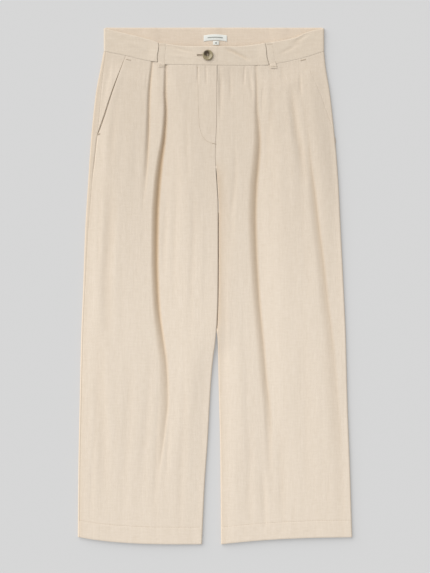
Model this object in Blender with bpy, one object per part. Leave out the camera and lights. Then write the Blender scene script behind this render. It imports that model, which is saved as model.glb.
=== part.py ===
"""Culottes laid flat on their back, waist at +Y and hems at -Y, on a table at z = 0.

Blender units are metres. The tables and sizes below are in millimetres, as on a cutting table, and each
vertex is made metres as it is placed. The origin is the middle of the base. Left and right are the
wearer's, so the right leg is at -X.

Each leg is a tube of cloth pressed flat. Its back panel lies on the table and its front panel lies on the
back one, and both are walls swept through sections across the leg. A section runs along the outer face of
the cloth: over the front with its pleats, round a small fold at the side and at the inseam, and along the
table. The right leg's inner edge lies over the left leg's, down to where the legs part.
"""

import math
from collections import namedtuple

import bmesh
import bpy
import numpy as np

MM = 0.001

# Cloth and clearances
CLOTH = 1.2            # wall of a leg panel
BAND = 1.8             # wall of the waistband, cloth folded over its interfacing
LOOP = 1.2             # wall of a belt loop
GAP = 0.3              # between neighbours at a seam, or between layers
SIDE_FOLD = 5.2        # height of the rounded fold along a leg's side
BAND_FOLD = 5.6        # height of the fold at each end of the flattened waistband

# Waist, hems and the zip's fly
WAIST_Y = 385.0        # centre front, where the front panels meet the waistband
BACK_WAIST_Y = 410.6   # centre back and both sides
BACK_TOP_Y = 451.2     # upper edge of the back waistband
HEM_Y = -451.2
CROTCH_Y = 150.0
CROTCH_DEPTH = 15.0    # below it, the right leg's back panel climbs onto the left leg
WAIST_REACH = 75.0     # how far below the waist seam the sections still follow its curve
HEM_REACH = 90.0
RIGHT_HEM_RISE = 13.0  # the hem rises towards the outer side of the leg
LEFT_HEM_RISE = 12.2

# Slant pocket mouths, measured round the leg from the side seam
MOUTH_TOP_Y = 402.0
MOUTH_FOOT_Y = 262.0
MOUTH_TOP_RUN = 35.5
MOUTH_LIP = 0.9        # the mouth's edge stands up a little
HIP_UNDERLAP = 15.0    # the hip piece runs on under the front panel

# Seam of the left side sits on the fold itself, at this angle from the fold's top
LEFT_SEAM_ANGLE = math.radians(90.0)
LEFT_SEAM_HALF_GAP = math.radians(7.0)

Side = namedtuple("Side", "y right left roll right_crown left_crown")
SIDES = [  # outline of both legs; roll is how far the right side seam lies in from its fold
    Side(411.0, -194.5, 191.0, 1.0, 6.3, 6.3),
    Side(385.0, -199.5, 193.5, 3.0, 7.2, 7.0),
    Side(340.0, -208.0, 200.8, 6.5, 8.4, 8.2),
    Side(290.0, -213.8, 206.5, 8.5, 9.2, 9.0),
    Side(235.0, -218.5, 212.0, 7.0, 9.4, 9.4),
    Side(180.0, -222.0, 216.0, 4.5, 9.4, 9.4),
    Side(100.0, -227.0, 220.0, 3.0, 9.0, 9.2),
    Side(0.0, -230.5, 225.0, 1.2, 8.4, 8.6),
    Side(-85.0, -234.0, 228.8, 1.0, 7.8, 8.0),
    Side(-200.0, -236.6, 231.8, 1.0, 7.0, 7.2),
    Side(-320.0, -239.0, 236.2, 1.0, 6.4, 6.6),
    Side(-451.2, -240.0, 240.3, 1.0, 5.9, 6.1),
]

Inner = namedtuple("Inner", "y right left right_top right_base left_top left_base left_ramp")
INNERS = [  # the folded inner edges: where they lie, and the height of the top and base of each fold
    Inner(411.0, 4.0, -8.0, 9.0, 5.8, 5.5, 2.9, 9.0),
    Inner(385.0, 4.0, -8.0, 9.0, 5.8, 5.5, 2.9, 9.0),
    Inner(290.0, 2.8, -9.0, 9.0, 5.8, 5.5, 2.9, 9.0),
    Inner(228.0, 0.6, -9.0, 9.0, 5.8, 5.5, 2.9, 12.0),
    Inner(204.0, 1.6, 2.2, 9.0, 5.8, 5.5, 2.9, 15.0),
    Inner(170.0, 4.0, 4.6, 9.0, 5.8, 5.2, 2.5, 20.0),
    Inner(150.0, 5.2, 5.8, 9.0, 5.3, 4.8, 1.4, 24.0),
    Inner(143.0, 5.4, 6.0, 9.0, 5.1, 4.6, 1.6, 26.0),
    Inner(135.0, 5.5, 6.1, 8.9, 4.6, 4.2, 0.0, 28.0),
    Inner(110.0, 5.6, -1.5, 8.9, 4.6, 4.2, 0.0, 32.0),
    Inner(60.0, 5.6, -4.5, 8.9, 4.6, 4.2, 0.0, 34.0),
    Inner(-20.0, 5.0, -4.0, 8.9, 4.6, 4.2, 0.0, 34.0),
    Inner(-60.0, 3.6, -0.5, 8.9, 4.6, 4.2, 0.0, 34.0),
    Inner(-78.0, 2.6, 3.6, 8.8, 4.5, 4.2, 0.0, 34.0),
    Inner(-95.0, 1.0, 4.6, 8.2, 3.8, 4.3, 0.0, 34.0),
    Inner(-130.0, -3.5, 5.4, 6.6, 1.9, 4.7, 0.0, 32.0),
    Inner(-165.0, -6.6, 6.2, 5.4, 0.4, 5.0, 0.0, 30.0),
    Inner(-200.0, -8.8, 7.0, 5.0, 0.0, 5.0, 0.0, 28.0),
    Inner(-270.0, -12.6, 8.8, 5.0, 0.0, 5.0, 0.0, 26.0),
    Inner(-340.0, -17.5, 9.6, 5.0, 0.0, 5.0, 0.0, 26.0),
    Inner(-451.2, -22.8, 10.6, 5.0, 0.0, 5.0, 0.0, 26.0),
]

Waist = namedtuple("Waist", "x seam_y top_y height")
WAIST = [  # the front waistband: its seam with the panels, its upper edge, and how high its face lies
    Waist(-194.0, 410.6, 450.6, 5.6),
    Waist(-156.0, 402.8, 441.4, 6.0),
    Waist(-114.0, 393.2, 430.8, 6.4),
    Waist(-97.0, 391.0, 425.0, 6.8),
    Waist(-86.0, 387.0, 423.2, 7.0),
    Waist(-52.0, 386.6, 419.4, 8.2),
    Waist(-31.0, 386.1, 418.8, 9.3),
    Waist(4.0, 385.6, 418.5, 9.3),
    Waist(35.0, 385.4, 418.6, 8.4),
    Waist(58.0, 385.3, 420.4, 7.6),
    Waist(87.0, 385.8, 424.6, 7.0),
    Waist(117.0, 390.6, 429.3, 6.5),
    Waist(140.0, 395.4, 434.4, 6.3),
    Waist(163.0, 401.6, 444.6, 6.0),
    Waist(191.0, 410.6, 450.6, 5.6),
]

FOLD_Y = (390.0, 300.0, 215.0, 95.0, -45.0, -185.0, -320.0, -451.2)
Fold = namedtuple("Fold", "leg name line depth outer_width inner_width")
FOLDS = [  # line and depth are given at each FOLD_Y; the widths are either side of the line
    Fold("right", "outer_pleat", (-110.5, -119, -125, -132, -136, -138, -139, -140),
         (1.5, 3.0, 1.2, 0, 0, 0, 0, 0), 8.0, 4.0),
    Fold("right", "main_pleat", (-89.3, -91.5, -100, -105, -101.5, -89.5, -88, -90),
         (2.0, 4.2, 5.2, 4.8, 3.4, 1.6, 0.5, 0), 14.0, 6.0),
    Fold("right", "side_hollow", (-176, -184, -192, -196, -198, -201, -203, -205),
         (0, 0, 0.8, 1.4, 1.4, 1.2, 0.8, 0.5), 16.0, 16.0),
    Fold("left", "main_pleat", (71.8, 70, 65.5, 66.5, 73.5, 82.3, 88, 92),
         (1.8, 3.6, 4.6, 4.6, 3.2, 1.6, 0.5, 0), 9.0, 13.0),
    Fold("left", "outer_pleat", (118, 122, 129, 138, 146, 150, 152, 154),
         (1.5, 0.6, 0, 0, 0, 0, 0, 0), 5.0, 7.0),
    Fold("left", "long_fold", (128, 142, 158, 179, 199, 203, 205, 206),
         (0, 1.4, 3.2, 3.0, 1.2, 1.2, 0.8, 0.5), 6.0, 14.0),
]

ROWS = (385.0, 368.0, 345.0, 318.0, 290.0, 262.0, 228.0, 204.0, 170.0, 150.0, 143.0, 135.0, 110.0, 60.0,
        20.0, -20.0, -60.0, -78.0, -95.0, -130.0, -165.0, -200.0, -270.0, -340.0, -400.0, -451.2)

HIP_ROWS = (385.0, 368.0, 345.0, 318.0, 295.0, 284.0)

# Button, loops, label
BUTTON_X = -12.6
BUTTON_Y = 403.0
BUTTON_RADIUS = 9.1
BUTTON_THICKNESS = 3.0
BUTTON_STEM_RADIUS = 0.7
BUTTON_HOLE_RADIUS = 0.85
BUTTON_HOLE_CIRCLE = 1.9
BUTTONHOLE_LENGTH = 19.4
BUTTONHOLE_WIDTH = 2.0
LAP_END_X = 4.0         # free end of the right waistband, over the left one
LAP_START_X = -26.0     # hidden end of the left waistband, under the right one
LOOP_WIDTH = 11.6
LOOP_REACH = 7.0        # how far a front loop runs on below the waist seam
LOOP_ARCH = 1.0         # how far the middle of a loop stands off the waistband
FRONT_LOOPS = {"right": (-92.4, -94.2), "left": (93.3, 101.8)}   # x of the upper and lower end
BACK_LOOPS = {"right": -112.0, "centre": -3.5, "left": 112.0}
LABEL_WALL = 0.5
LABEL_SIZE = (40.8, 10.6)
LABEL_CENTRE = (0.6, 435.2)
TAB_SIZE = (10.4, 7.2)
ZIP_WALL = 1.0
ZIP_WIDTH = 24.0
ZIP_FOOT_Y = 232.0


# Colours of the pieces
def material(name, colour, roughness, metallic=0.0):
    made = bpy.data.materials.new(name)
    made.use_nodes = True
    shader = made.node_tree.nodes["Principled BSDF"]
    shader.inputs["Base Color"].default_value = (*colour, 1.0)
    shader.inputs["Roughness"].default_value = roughness
    shader.inputs["Metallic"].default_value = metallic
    made.diffuse_color = (*colour, 1.0)
    return made


def cloth_material(name, shade=1.0):
    return material(name, (0.76 * shade, 0.66 * shade, 0.54 * shade), 0.92)


# Curves through the tables
def smoothstep(t):
    t = min(max(t, 0.0), 1.0)
    return t * t * (3.0 - 2.0 * t)


def read_down(rows, column, y):
    """A table's column at height y; the rows run downwards, from the waist to the hem."""
    return float(np.interp(-y, [-row.y for row in rows], [getattr(row, column) for row in rows]))


def read_across(column, x):
    return float(np.interp(x, [row.x for row in WAIST], [getattr(row, column) for row in WAIST]))


def fold_value(values, y):
    return float(np.interp(-y, [-station for station in FOLD_Y], values))


def side_of(leg):
    """-1 for the right leg, which is at -X, and +1 for the left one."""
    return -1.0 if leg == "right" else 1.0


def side_fold_x(leg, y):
    """Centre of the small fold along the leg's outer side."""
    return read_down(SIDES, leg, y) - side_of(leg) * SIDE_FOLD / 2


def inner_radius(leg, y):
    return (read_down(INNERS, leg + "_top", y) - read_down(INNERS, leg + "_base", y)) / 2


def inner_fold_x(leg, y):
    """Centre of the fold along the leg's inner edge."""
    return read_down(INNERS, leg, y) + side_of(leg) * inner_radius(leg, y)


def hem_y(leg, x):
    """The hem's edge, which rises in a slow curve from the inner side to the outer side."""
    inner = read_down(INNERS, leg, HEM_Y)
    outer = read_down(SIDES, leg, HEM_Y)
    t = min(max((x - inner) / (outer - inner), 0.0), 1.0)
    if leg == "right":
        return HEM_Y + RIGHT_HEM_RISE * t ** 2.8
    return HEM_Y + LEFT_HEM_RISE * (1.0 - (1.0 - t) ** 2.3)


def height_on_leg(leg, x, row_y, waist_y):
    """Where a section's row crosses x, once the waist seam and the hem have bent the row."""
    waist_pull = smoothstep((row_y - (WAIST_Y - WAIST_REACH)) / WAIST_REACH)
    hem_pull = smoothstep((HEM_Y + HEM_REACH - row_y) / HEM_REACH)
    return row_y + (waist_y - WAIST_Y) * waist_pull + (hem_y(leg, x) - HEM_Y) * hem_pull


def front_waist_y(x):
    return read_across("seam_y", x) - GAP


def back_waist_y(_x):
    return BACK_WAIST_Y - GAP


# Heights of the cloth
def waist_height(leg, x):
    """Face of the front panel just below the waistband."""
    height = read_across("height", x) - GAP
    if leg == "left":
        under_fly = read_down(INNERS, "left_top", WAIST_Y)
        height = under_fly + (height - under_fly) * smoothstep((x - LAP_END_X - 0.5) / 9.0)
    return height


def front_height(leg, x, y):
    """Height of the front panel's outer face, with its pleats and largest folds."""
    crown = read_down(SIDES, leg + "_crown", y)
    outward = side_of(leg)
    from_side = (side_fold_x(leg, y) - x) * outward
    inner_start = inner_fold_x(leg, y)
    ramp = 40.0
    if leg == "left":
        inner_start = max(inner_start, read_down(INNERS, "right", y) + 0.5)
        ramp = read_down(INNERS, "left_ramp", y)
    from_inner = (x - inner_start) * outward
    height = crown
    height += (SIDE_FOLD - crown) * (1.0 - smoothstep(from_side / 34.0))
    height += (read_down(INNERS, leg + "_top", y) - crown) * (1.0 - smoothstep(from_inner / ramp))
    for fold in FOLDS:
        if fold.leg == leg:
            distance = (x - fold_value(fold.line, y)) * outward
            width = fold.outer_width if distance > 0 else fold.inner_width
            reach = max(0.0, 1.0 - abs(distance) / width)
            height -= fold_value(fold.depth, y) * reach ** 1.3
    below_waist = (read_across("seam_y", x) - y) / 42.0
    return waist_height(leg, x) + (height - waist_height(leg, x)) * smoothstep(below_waist)


def back_lift(leg, x, y):
    """Height of the back panel's underside: 0, but where the right leg's inner edge rides on the left leg."""
    if leg == "left" or y >= CROTCH_Y:
        return 0.0
    edge = read_down(INNERS, "left", y) - 4.0
    risen = min(1.0, (CROTCH_Y - y) / CROTCH_DEPTH)
    return risen * read_down(INNERS, "right_base", y) * smoothstep((x - edge + 30.0) / 30.0)


# Points on a section: (x, y, z) and the outward direction (x, z) of the outer face there
def slope_normal(function, x, down=1.0):
    step = 0.8
    slope = (function(x + step) - function(x - step)) / (2 * step)
    length = math.hypot(slope, 1.0)
    return (-slope / length * down, down / length)


def front_point(leg, x, y):
    return (x, y, front_height(leg, x, y)), slope_normal(lambda at: front_height(leg, at, y), x)


def back_point(leg, x, y):
    return (x, y, back_lift(leg, x, y)), slope_normal(lambda at: back_lift(leg, at, y), x, -1.0)


def seam_run(leg, y):
    """Length of cloth from the side seam to the top of the side's fold, positive round the fold."""
    if leg == "right":
        return -read_down(SIDES, "roll", y)
    return (LEFT_SEAM_ANGLE - LEFT_SEAM_HALF_GAP) * SIDE_FOLD / 2


def mouth_run(y):
    """Width of the pocket mouth's opening at height y, from the side seam."""
    return MOUTH_TOP_RUN * max(0.0, (y - MOUTH_FOOT_Y) / (MOUTH_TOP_Y - MOUTH_FOOT_Y))


def side_angle_point(leg, angle, y):
    """On the small fold along the side; 0 is its top and pi is its base, on the table."""
    radius = SIDE_FOLD / 2
    direction = (side_of(leg) * math.sin(angle), math.cos(angle))
    x = side_fold_x(leg, y) + radius * direction[0]
    return (x, y, radius + radius * direction[1]), direction


def side_run_point(leg, run, y):
    """A point of the front at this length of cloth from the side seam."""
    past_top = run - seam_run(leg, y)
    if past_top < 0.0:
        return side_angle_point(leg, -past_top / (SIDE_FOLD / 2), y)
    return front_point(leg, side_fold_x(leg, y) - side_of(leg) * past_top, y)


def inner_angle_point(leg, angle, y):
    """On the fold along the inner edge; 0 is its top and pi is its base."""
    radius = inner_radius(leg, y)
    direction = (-side_of(leg) * math.sin(angle), math.cos(angle))
    x = inner_fold_x(leg, y) + radius * direction[0]
    z = read_down(INNERS, leg + "_base", y) + radius + radius * direction[1]
    return (x, y, z), direction


def between(first, last, count):
    """count values spaced evenly between first and last, without them."""
    return [first + (last - first) * (i + 1) / (count + 1) for i in range(count)]


def fold_line(leg, name, y):
    fold = next(fold for fold in FOLDS if fold.leg == leg and fold.name == name)
    return fold_value(fold.line, y)


# Sections: each returns the points of one row of a panel, in order round the leg
SIDE_RUNS = (0.0, 1.7, 3.77, 8.5)
FOLD_ANGLES = tuple(math.radians(angle) for angle in (45.0, 90.0, 135.0, 180.0))


def front_edge_points(leg, y):
    """The first stretch of a front panel, from the side seam or from the pocket mouth's edge."""
    open_run = mouth_run(y)
    lip = MOUTH_LIP * math.sin(math.pi * min(1.0, open_run / MOUTH_TOP_RUN))
    points = []
    for run in SIDE_RUNS:
        (x, _y, z), normal = side_run_point(leg, open_run + run + (GAP / 2 if leg == "right" else 0.0), y)
        points.append(((x, y, z + lip * (1.0 - run / SIDE_RUNS[-1])), normal))
    return points


def front_section(leg, y):
    points = front_edge_points(leg, y)
    edge_x = points[-1][0][0]
    main = fold_line(leg, "main_pleat", y)
    inner = inner_fold_x(leg, y)
    if leg == "right":
        outer = fold_line(leg, "outer_pleat", y)
        xs = between(edge_x, outer - 9.0, 2)
        xs += [outer - 9.0, outer - 3.0, outer, outer + 4.0]
        xs += [main - 14.0, main - 7.0, main - 2.5, main, main + 2.5, main + 7.0]
        xs += between(main + 7.0, inner, 4)
    else:
        long_fold = fold_line(leg, "long_fold", y)
        start = max(inner, read_down(INNERS, "right", y) + 0.5)
        ramp = read_down(INNERS, "left_ramp", y)
        xs = between(edge_x, long_fold + 5.0, 1)
        xs += [long_fold + 5.0, long_fold, long_fold - 5.0, long_fold - 12.0]
        xs += between(long_fold - 12.0, main + 9.0, 2)
        xs += [main + 9.0, main + 3.0, main, main - 3.0, main - 9.0]
        xs += between(main - 9.0, start + ramp, 1)
        xs += [start + ramp, start + 0.6 * ramp, start + 0.25 * ramp, start + 0.6]
    points += [front_point(leg, x, y) for x in xs]
    points.append(inner_angle_point(leg, 0.0, y))
    points += [inner_angle_point(leg, angle, y) for angle in FOLD_ANGLES]
    return points


def back_section(leg, y):
    outward = side_of(leg)
    if leg == "right":
        points = [side_run_point(leg, -GAP / 2, y), side_angle_point(leg, 0.0, y)]
        points += [side_angle_point(leg, angle, y) for angle in FOLD_ANGLES]
    else:
        points = [side_angle_point(leg, LEFT_SEAM_ANGLE + LEFT_SEAM_HALF_GAP, y)]
        points += [side_angle_point(leg, angle, y) for angle in FOLD_ANGLES[2:]]
    outer_x = side_fold_x(leg, y)
    if y >= CROTCH_Y:
        inner_x = read_down(INNERS, "right", y) + outward * GAP / 2
    else:
        inner_x = inner_fold_x(leg, y) + outward * GAP
    if leg == "right":
        rise = min(read_down(INNERS, "left", y), inner_x + 2.0) - 4.0
        xs = between(outer_x, rise - 32.0, 3) + [rise - 32.0, rise - 15.0, rise - 2.0, inner_x]
    else:
        xs = between(outer_x, inner_x, 4) + [inner_x]
    return points + [back_point(leg, x, y) for x in xs]


def hip_section(leg, y):
    """The facing inside the pocket mouth: flush at the side seam, and one cloth lower under the front."""
    open_run = mouth_run(y)
    start = GAP / 2 if leg == "right" else 0.0
    runs = [start, start + 1.7, start + 3.77]
    runs += [start + 3.77 + (open_run - 3.77) * part for part in (0.35, 0.7, 1.0)]
    runs += [open_run + HIP_UNDERLAP / 2, open_run + HIP_UNDERLAP]
    points = []
    for run in runs:
        (x, _y, z), normal = side_run_point(leg, run, y)
        drop = (CLOTH + GAP + 0.25) * smoothstep((run - 3.0) / max(open_run - 6.0, 1.0))
        points.append(((x, y, z - drop), normal))
    return points


# Walls of cloth
def wall(name, rows, thickness, finish):
    """A closed wall: its outer face runs through the rows of points, its inner face a thickness behind."""
    count_across = len(rows[0])
    outer = [np.array(point) for row in rows for point, _normal in row]
    inner = [np.array(point) - thickness * np.array((normal[0], 0.0, normal[1]))
             for row in rows for point, normal in row]
    mesh = bpy.data.meshes.new(name)
    shape = bmesh.new()
    bmesh.ops.create_grid(shape, x_segments=count_across - 1, y_segments=len(rows) - 1, size=1.0)
    place = shape.verts.layers.int.new("place")
    for index, vertex in enumerate(shape.verts):
        vertex[place] = index
        vertex.co = outer[index] * MM
    behind = bmesh.ops.extrude_face_region(shape, geom=shape.faces[:], use_keep_orig=True)
    for item in behind["geom"]:
        if isinstance(item, bmesh.types.BMVert):
            item.co = inner[item[place]] * MM
    bmesh.ops.recalc_face_normals(shape, faces=shape.faces[:])
    shape.to_mesh(mesh)
    shape.free()
    mesh.materials.append(finish)
    piece = bpy.data.objects.new(name, mesh)
    bpy.context.scene.collection.objects.link(piece)
    return piece


def leg_panel(name, leg, section, waist, finish):
    """One leg panel: its sections are bent at the top to the waist seam and at the foot to the hem."""
    return wall(name, [bent_row(leg, section, row_y, waist) for row_y in ROWS], CLOTH, finish)


def bent_row(leg, section, row_y, waist):
    """A section's row, each point moved up or down to follow the waist seam and the hem."""
    row = []
    for column, ((x, y, z), normal) in enumerate(section(leg, row_y)):
        for _settle in range(2):
            y = height_on_leg(leg, x, row_y, waist(x))
            (x, _y, z), normal = section(leg, y)[column]
        row.append(((x, y, z), normal))
    return row


def hip_piece(leg, finish):
    rows = [bent_row(leg, hip_section, row_y, front_waist_y) for row_y in HIP_ROWS]
    return wall("hip_" + leg, rows, CLOTH, finish)


# Waistband
def band_height(x, under=False):
    height = read_across("height", x)
    if under:
        height -= (BAND + GAP) * (1.0 - smoothstep((x - LAP_END_X - 0.3) / 6.0))
    return height


def band_point(x, part, under=False):
    low = read_across("seam_y", x) + GAP
    high = read_across("top_y", x)
    height = band_height(x, under)
    return (x, low + (high - low) * part, height), slope_normal(lambda at: band_height(at, under), x)


def band_fold_point(leg, angle, part):
    radius = BAND_FOLD / 2
    x_end = read_down(SIDES, leg, 411.0)
    centre = x_end - side_of(leg) * radius
    direction = (side_of(leg) * math.sin(angle), math.cos(angle))
    (_x, y, _z), _normal = band_point(x_end, part)
    return (centre + radius * direction[0], y, radius + radius * direction[1]), direction


def front_band(leg, finish):
    """Half of the front waistband, from round the side fold to its end at the fly."""
    if leg == "right":
        xs = (-184.0, -170.0, -156.0, -135.0, -114.0, -97.0, -86.0, -70.0, -52.0, -40.0, -31.0, -14.0,
              LAP_END_X)
    else:
        xs = (184.0, 174.0, 163.0, 151.0, 140.0, 117.0, 102.0, 87.0, 72.0, 58.0, 46.0, 35.0, 22.0,
              LAP_END_X + 6.3, LAP_END_X + 3.0, LAP_END_X + 0.3, -10.0, LAP_START_X)
    rows = []
    for part in (0.0, 0.33, 0.67, 1.0):
        row = [band_fold_point(leg, angle, part) for angle in reversed(FOLD_ANGLES)]
        row.append(band_fold_point(leg, 0.0, part))
        row += [band_point(x, part, under=leg == "left") for x in xs]
        rows.append(row)
    band = wall("waistband_" + leg, rows, BAND, finish)
    if leg == "right":
        cut_buttonhole(band)
    return band


def cut_buttonhole(band):
    """The slit that the button's stem stands in, at its end nearest the fly."""
    end_x = BUTTON_X + BUTTONHOLE_WIDTH / 2
    mesh = bpy.data.meshes.new("buttonhole_cutter")
    shape = bmesh.new()
    bmesh.ops.create_cube(shape, size=1.0)
    bmesh.ops.scale(shape, vec=(BUTTONHOLE_LENGTH * MM, BUTTONHOLE_WIDTH * MM, 20.0 * MM), verts=shape.verts)
    bmesh.ops.translate(shape, verts=shape.verts, vec=(
        (end_x - BUTTONHOLE_LENGTH / 2) * MM, BUTTON_Y * MM, band_height(BUTTON_X) * MM))
    shape.to_mesh(mesh)
    shape.free()
    cutter = bpy.data.objects.new("buttonhole_cutter", mesh)
    bpy.context.scene.collection.objects.link(cutter)
    cutter.hide_render = True
    cutter.display_type = "WIRE"
    cut = band.modifiers.new("buttonhole", "BOOLEAN")
    cut.operation = "DIFFERENCE"
    cut.solver = "EXACT"
    cut.object = cutter


def over_back_loop(x):
    """1 where the back waistband passes over a belt loop, and 0 between them."""
    near = min(abs(x - loop_x) for loop_x in BACK_LOOPS.values())
    return 1.0 - smoothstep((near - LOOP_WIDTH / 2 - 1.0) / 5.0)


def back_band_underside(x):
    return (LOOP + GAP) * over_back_loop(x)


def back_band_top(x):
    return back_band_underside(x) + BAND


def back_band(finish):
    """The back waistband lies on the table, inside up, and steps over its three loops."""
    ends = [read_down(SIDES, leg, 411.0) - side_of(leg) * (BAND_FOLD / 2 + GAP) for leg in ("right", "left")]
    xs = [ends[0]]
    half = LOOP_WIDTH / 2
    for loop_x in BACK_LOOPS.values():
        xs += [loop_x - half - 6.0, loop_x - half - 1.0, loop_x + half + 1.0, loop_x + half + 6.0]
    xs.append(ends[1])
    rows = []
    for y in (BACK_TOP_Y, BACK_WAIST_Y + GAP / 2):
        rows.append([((x, y, back_band_underside(x)), (0.0, -1.0)) for x in xs])
    return wall("waistband_back", rows, BAND, finish)


# Belt loops
def front_face_height(leg, x, y):
    """The highest face near a point of the waistband or of the panel below it."""
    reach = 2.5
    heights = []
    for near_x in (x - reach, x, x + reach):
        heights.append(band_height(near_x))
        if y < read_across("seam_y", near_x) + reach:
            heights.append(front_height(leg, near_x, min(y, read_across("seam_y", near_x))))
    return max(heights)


def front_loop(leg, finish):
    upper_x, lower_x = FRONT_LOOPS[leg]
    upper_y = read_across("top_y", upper_x) - 0.5
    lower_y = read_across("seam_y", lower_x) - LOOP_REACH
    parts = (0.0, 0.1, 0.3, 0.5, 0.7, 0.9, 1.0)
    rows = []
    for part in parts:
        centre_x = upper_x + (lower_x - upper_x) * part
        y = upper_y + (lower_y - upper_y) * part
        row = []
        for across in (-0.5, 0.0, 0.5):
            x = centre_x + across * LOOP_WIDTH
            height = front_face_height(leg, x, y) + 0.15 + GAP + LOOP
            height += LOOP_ARCH * math.sin(math.pi * part)
            row.append(((x, y, height), (0.0, 1.0)))
        rows.append(row)
    return wall("belt_loop_front_" + leg, rows, LOOP, finish)


def back_loop(which, finish):
    """A back loop lies under the waistband, on the table."""
    x = BACK_LOOPS[which]
    half = LOOP_WIDTH / 2
    rows = [[((x + offset, y, 0.0), (0.0, -1.0)) for offset in (-half, half)]
            for y in (BACK_TOP_Y, BACK_WAIST_Y + 1.0)]
    return wall("belt_loop_back_" + which, rows, LOOP, finish)


# Label and fly
def label_piece(name, centre, size, finish):
    """A woven label is made from the waistband's own inner face, moved out."""
    columns = 13
    rows = []
    for y in (centre[1] - size[1] / 2, centre[1] + size[1] / 2):
        row = []
        for column in range(columns):
            x = centre[0] + size[0] * (column / (columns - 1) - 0.5)
            near = max(back_band_top(x + step) for step in (-2.0, -1.0, 0.0, 1.0, 2.0))
            row.append(((x, y, near + GAP + LABEL_WALL), (0.0, 1.0)))
        rows.append(row)
    return wall(name, rows, LABEL_WALL, finish)


def fly_zip(finish):
    """The closed zip, hidden between the fly and the back panels, as one plain tape."""
    centre_x = LAP_END_X - 8.0
    rows = [[((centre_x + offset, y, CLOTH + GAP + ZIP_WALL), (0.0, 1.0))
             for offset in (-ZIP_WIDTH / 2, ZIP_WIDTH / 2)]
            for y in (WAIST_Y - 2.0, ZIP_FOOT_Y)]
    return wall("fly_zip", rows, ZIP_WALL, finish)


# Button
def turned(name, profile, steps, finish):
    """A solid turned about +Z from a profile of (radius, z) that starts and ends on the axis."""
    mesh = bpy.data.meshes.new(name)
    shape = bmesh.new()
    vertices = [shape.verts.new((radius * MM, 0.0, z * MM)) for radius, z in profile]
    edges = [shape.edges.new(pair) for pair in zip(vertices, vertices[1:])]
    bmesh.ops.spin(shape, geom=vertices + edges, cent=(0, 0, 0), axis=(0, 0, 1), angle=2 * math.pi,
                   steps=steps, use_merge=True)
    bmesh.ops.remove_doubles(shape, verts=shape.verts[:], dist=0.00001)
    bmesh.ops.recalc_face_normals(shape, faces=shape.faces[:])
    shape.to_mesh(mesh)
    shape.free()
    mesh.materials.append(finish)
    piece = bpy.data.objects.new(name, mesh)
    bpy.context.scene.collection.objects.link(piece)
    return piece


def button(finish):
    """A four-hole button with a raised rim, on a stem of thread that stands in the buttonhole."""
    stem_foot = band_height(BUTTON_X) - BAND
    base = band_height(BUTTON_X) + GAP + 0.1
    top = base + BUTTON_THICKNESS
    piece = turned("button", [
        (0.0, stem_foot),
        (BUTTON_STEM_RADIUS, stem_foot),
        (BUTTON_STEM_RADIUS, base),
        (BUTTON_RADIUS * 0.55, base),
        (BUTTON_RADIUS * 0.92, base + 0.8),
        (BUTTON_RADIUS, base + 1.7),
        (BUTTON_RADIUS * 0.96, top - 0.3),
        (BUTTON_RADIUS * 0.86, top),
        (BUTTON_RADIUS * 0.74, top - 0.2),
        (BUTTON_RADIUS * 0.64, top - 0.9),
        (0.0, top - 1.1),
    ], 28, finish)
    for number in range(4):
        angle = math.radians(45.0 + 90.0 * number)
        cutter = turned("button_hole_cutter_%d" % number, [
            (0.0, base + 0.6),
            (BUTTON_HOLE_RADIUS, base + 0.6),
            (BUTTON_HOLE_RADIUS, top + 1.0),
            (0.0, top + 1.0),
        ], 8, finish)
        cutter.location = (BUTTON_HOLE_CIRCLE * math.cos(angle) * MM,
                           BUTTON_HOLE_CIRCLE * math.sin(angle) * MM, 0.0)
        cutter.parent = piece
        cutter.hide_render = True
        cutter.display_type = "WIRE"
        cut = piece.modifiers.new("hole", "BOOLEAN")
        cut.operation = "DIFFERENCE"
        cut.solver = "EXACT"
        cut.object = cutter
    piece.location = (BUTTON_X * MM, BUTTON_Y * MM, 0.0)
    return piece


def build():
    for item in list(bpy.data.objects):
        bpy.data.objects.remove(item, do_unlink=True)
    for leg in ("right", "left"):
        leg_panel("back_" + leg, leg, back_section, back_waist_y, cloth_material("back_%s_cloth" % leg, 0.95))
        leg_panel("front_" + leg, leg, front_section, front_waist_y, cloth_material("front_%s_cloth" % leg))
        hip_piece(leg, cloth_material("hip_%s_cloth" % leg, 0.97))
        front_band(leg, cloth_material("waistband_%s_cloth" % leg, 0.98))
        front_loop(leg, cloth_material("belt_loop_front_%s_cloth" % leg))
    back_band(cloth_material("waistband_back_cloth", 0.96))
    for which in BACK_LOOPS:
        back_loop(which, cloth_material("belt_loop_back_%s_cloth" % which, 0.95))
    button(material("button_horn", (0.42, 0.34, 0.20), 0.35))
    label_piece("label", LABEL_CENTRE, LABEL_SIZE, material("label_weave", (0.86, 0.85, 0.80), 0.75))
    tab_y = LABEL_CENTRE[1] - (LABEL_SIZE[1] + TAB_SIZE[1]) / 2 - GAP
    label_piece("size_tab", (LABEL_CENTRE[0] + 1.2, tab_y), TAB_SIZE,
                material("size_tab_weave", (0.86, 0.85, 0.80), 0.75))
    fly_zip(material("fly_zip_tape", (0.70, 0.62, 0.50), 0.85))


build()
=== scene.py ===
# %% [markdown]
# # Wide culottes in crinkled cotton and linen, laid flat on their back
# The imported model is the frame: it says where every piece lies, and it is never moved. Each cloth solid in
# it is replaced here by a finer sheet on the same form, with its pleats, creases, seams and stitches.
# Waist is at +Y, hems at -Y, and the wearer's right leg is at -X. Tables are in millimetres, as on a cutting
# table, and points become metres when a mesh is made.

import math
from collections import namedtuple

import bmesh
import bpy
import numpy as np
from mathutils import Matrix, Vector


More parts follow.
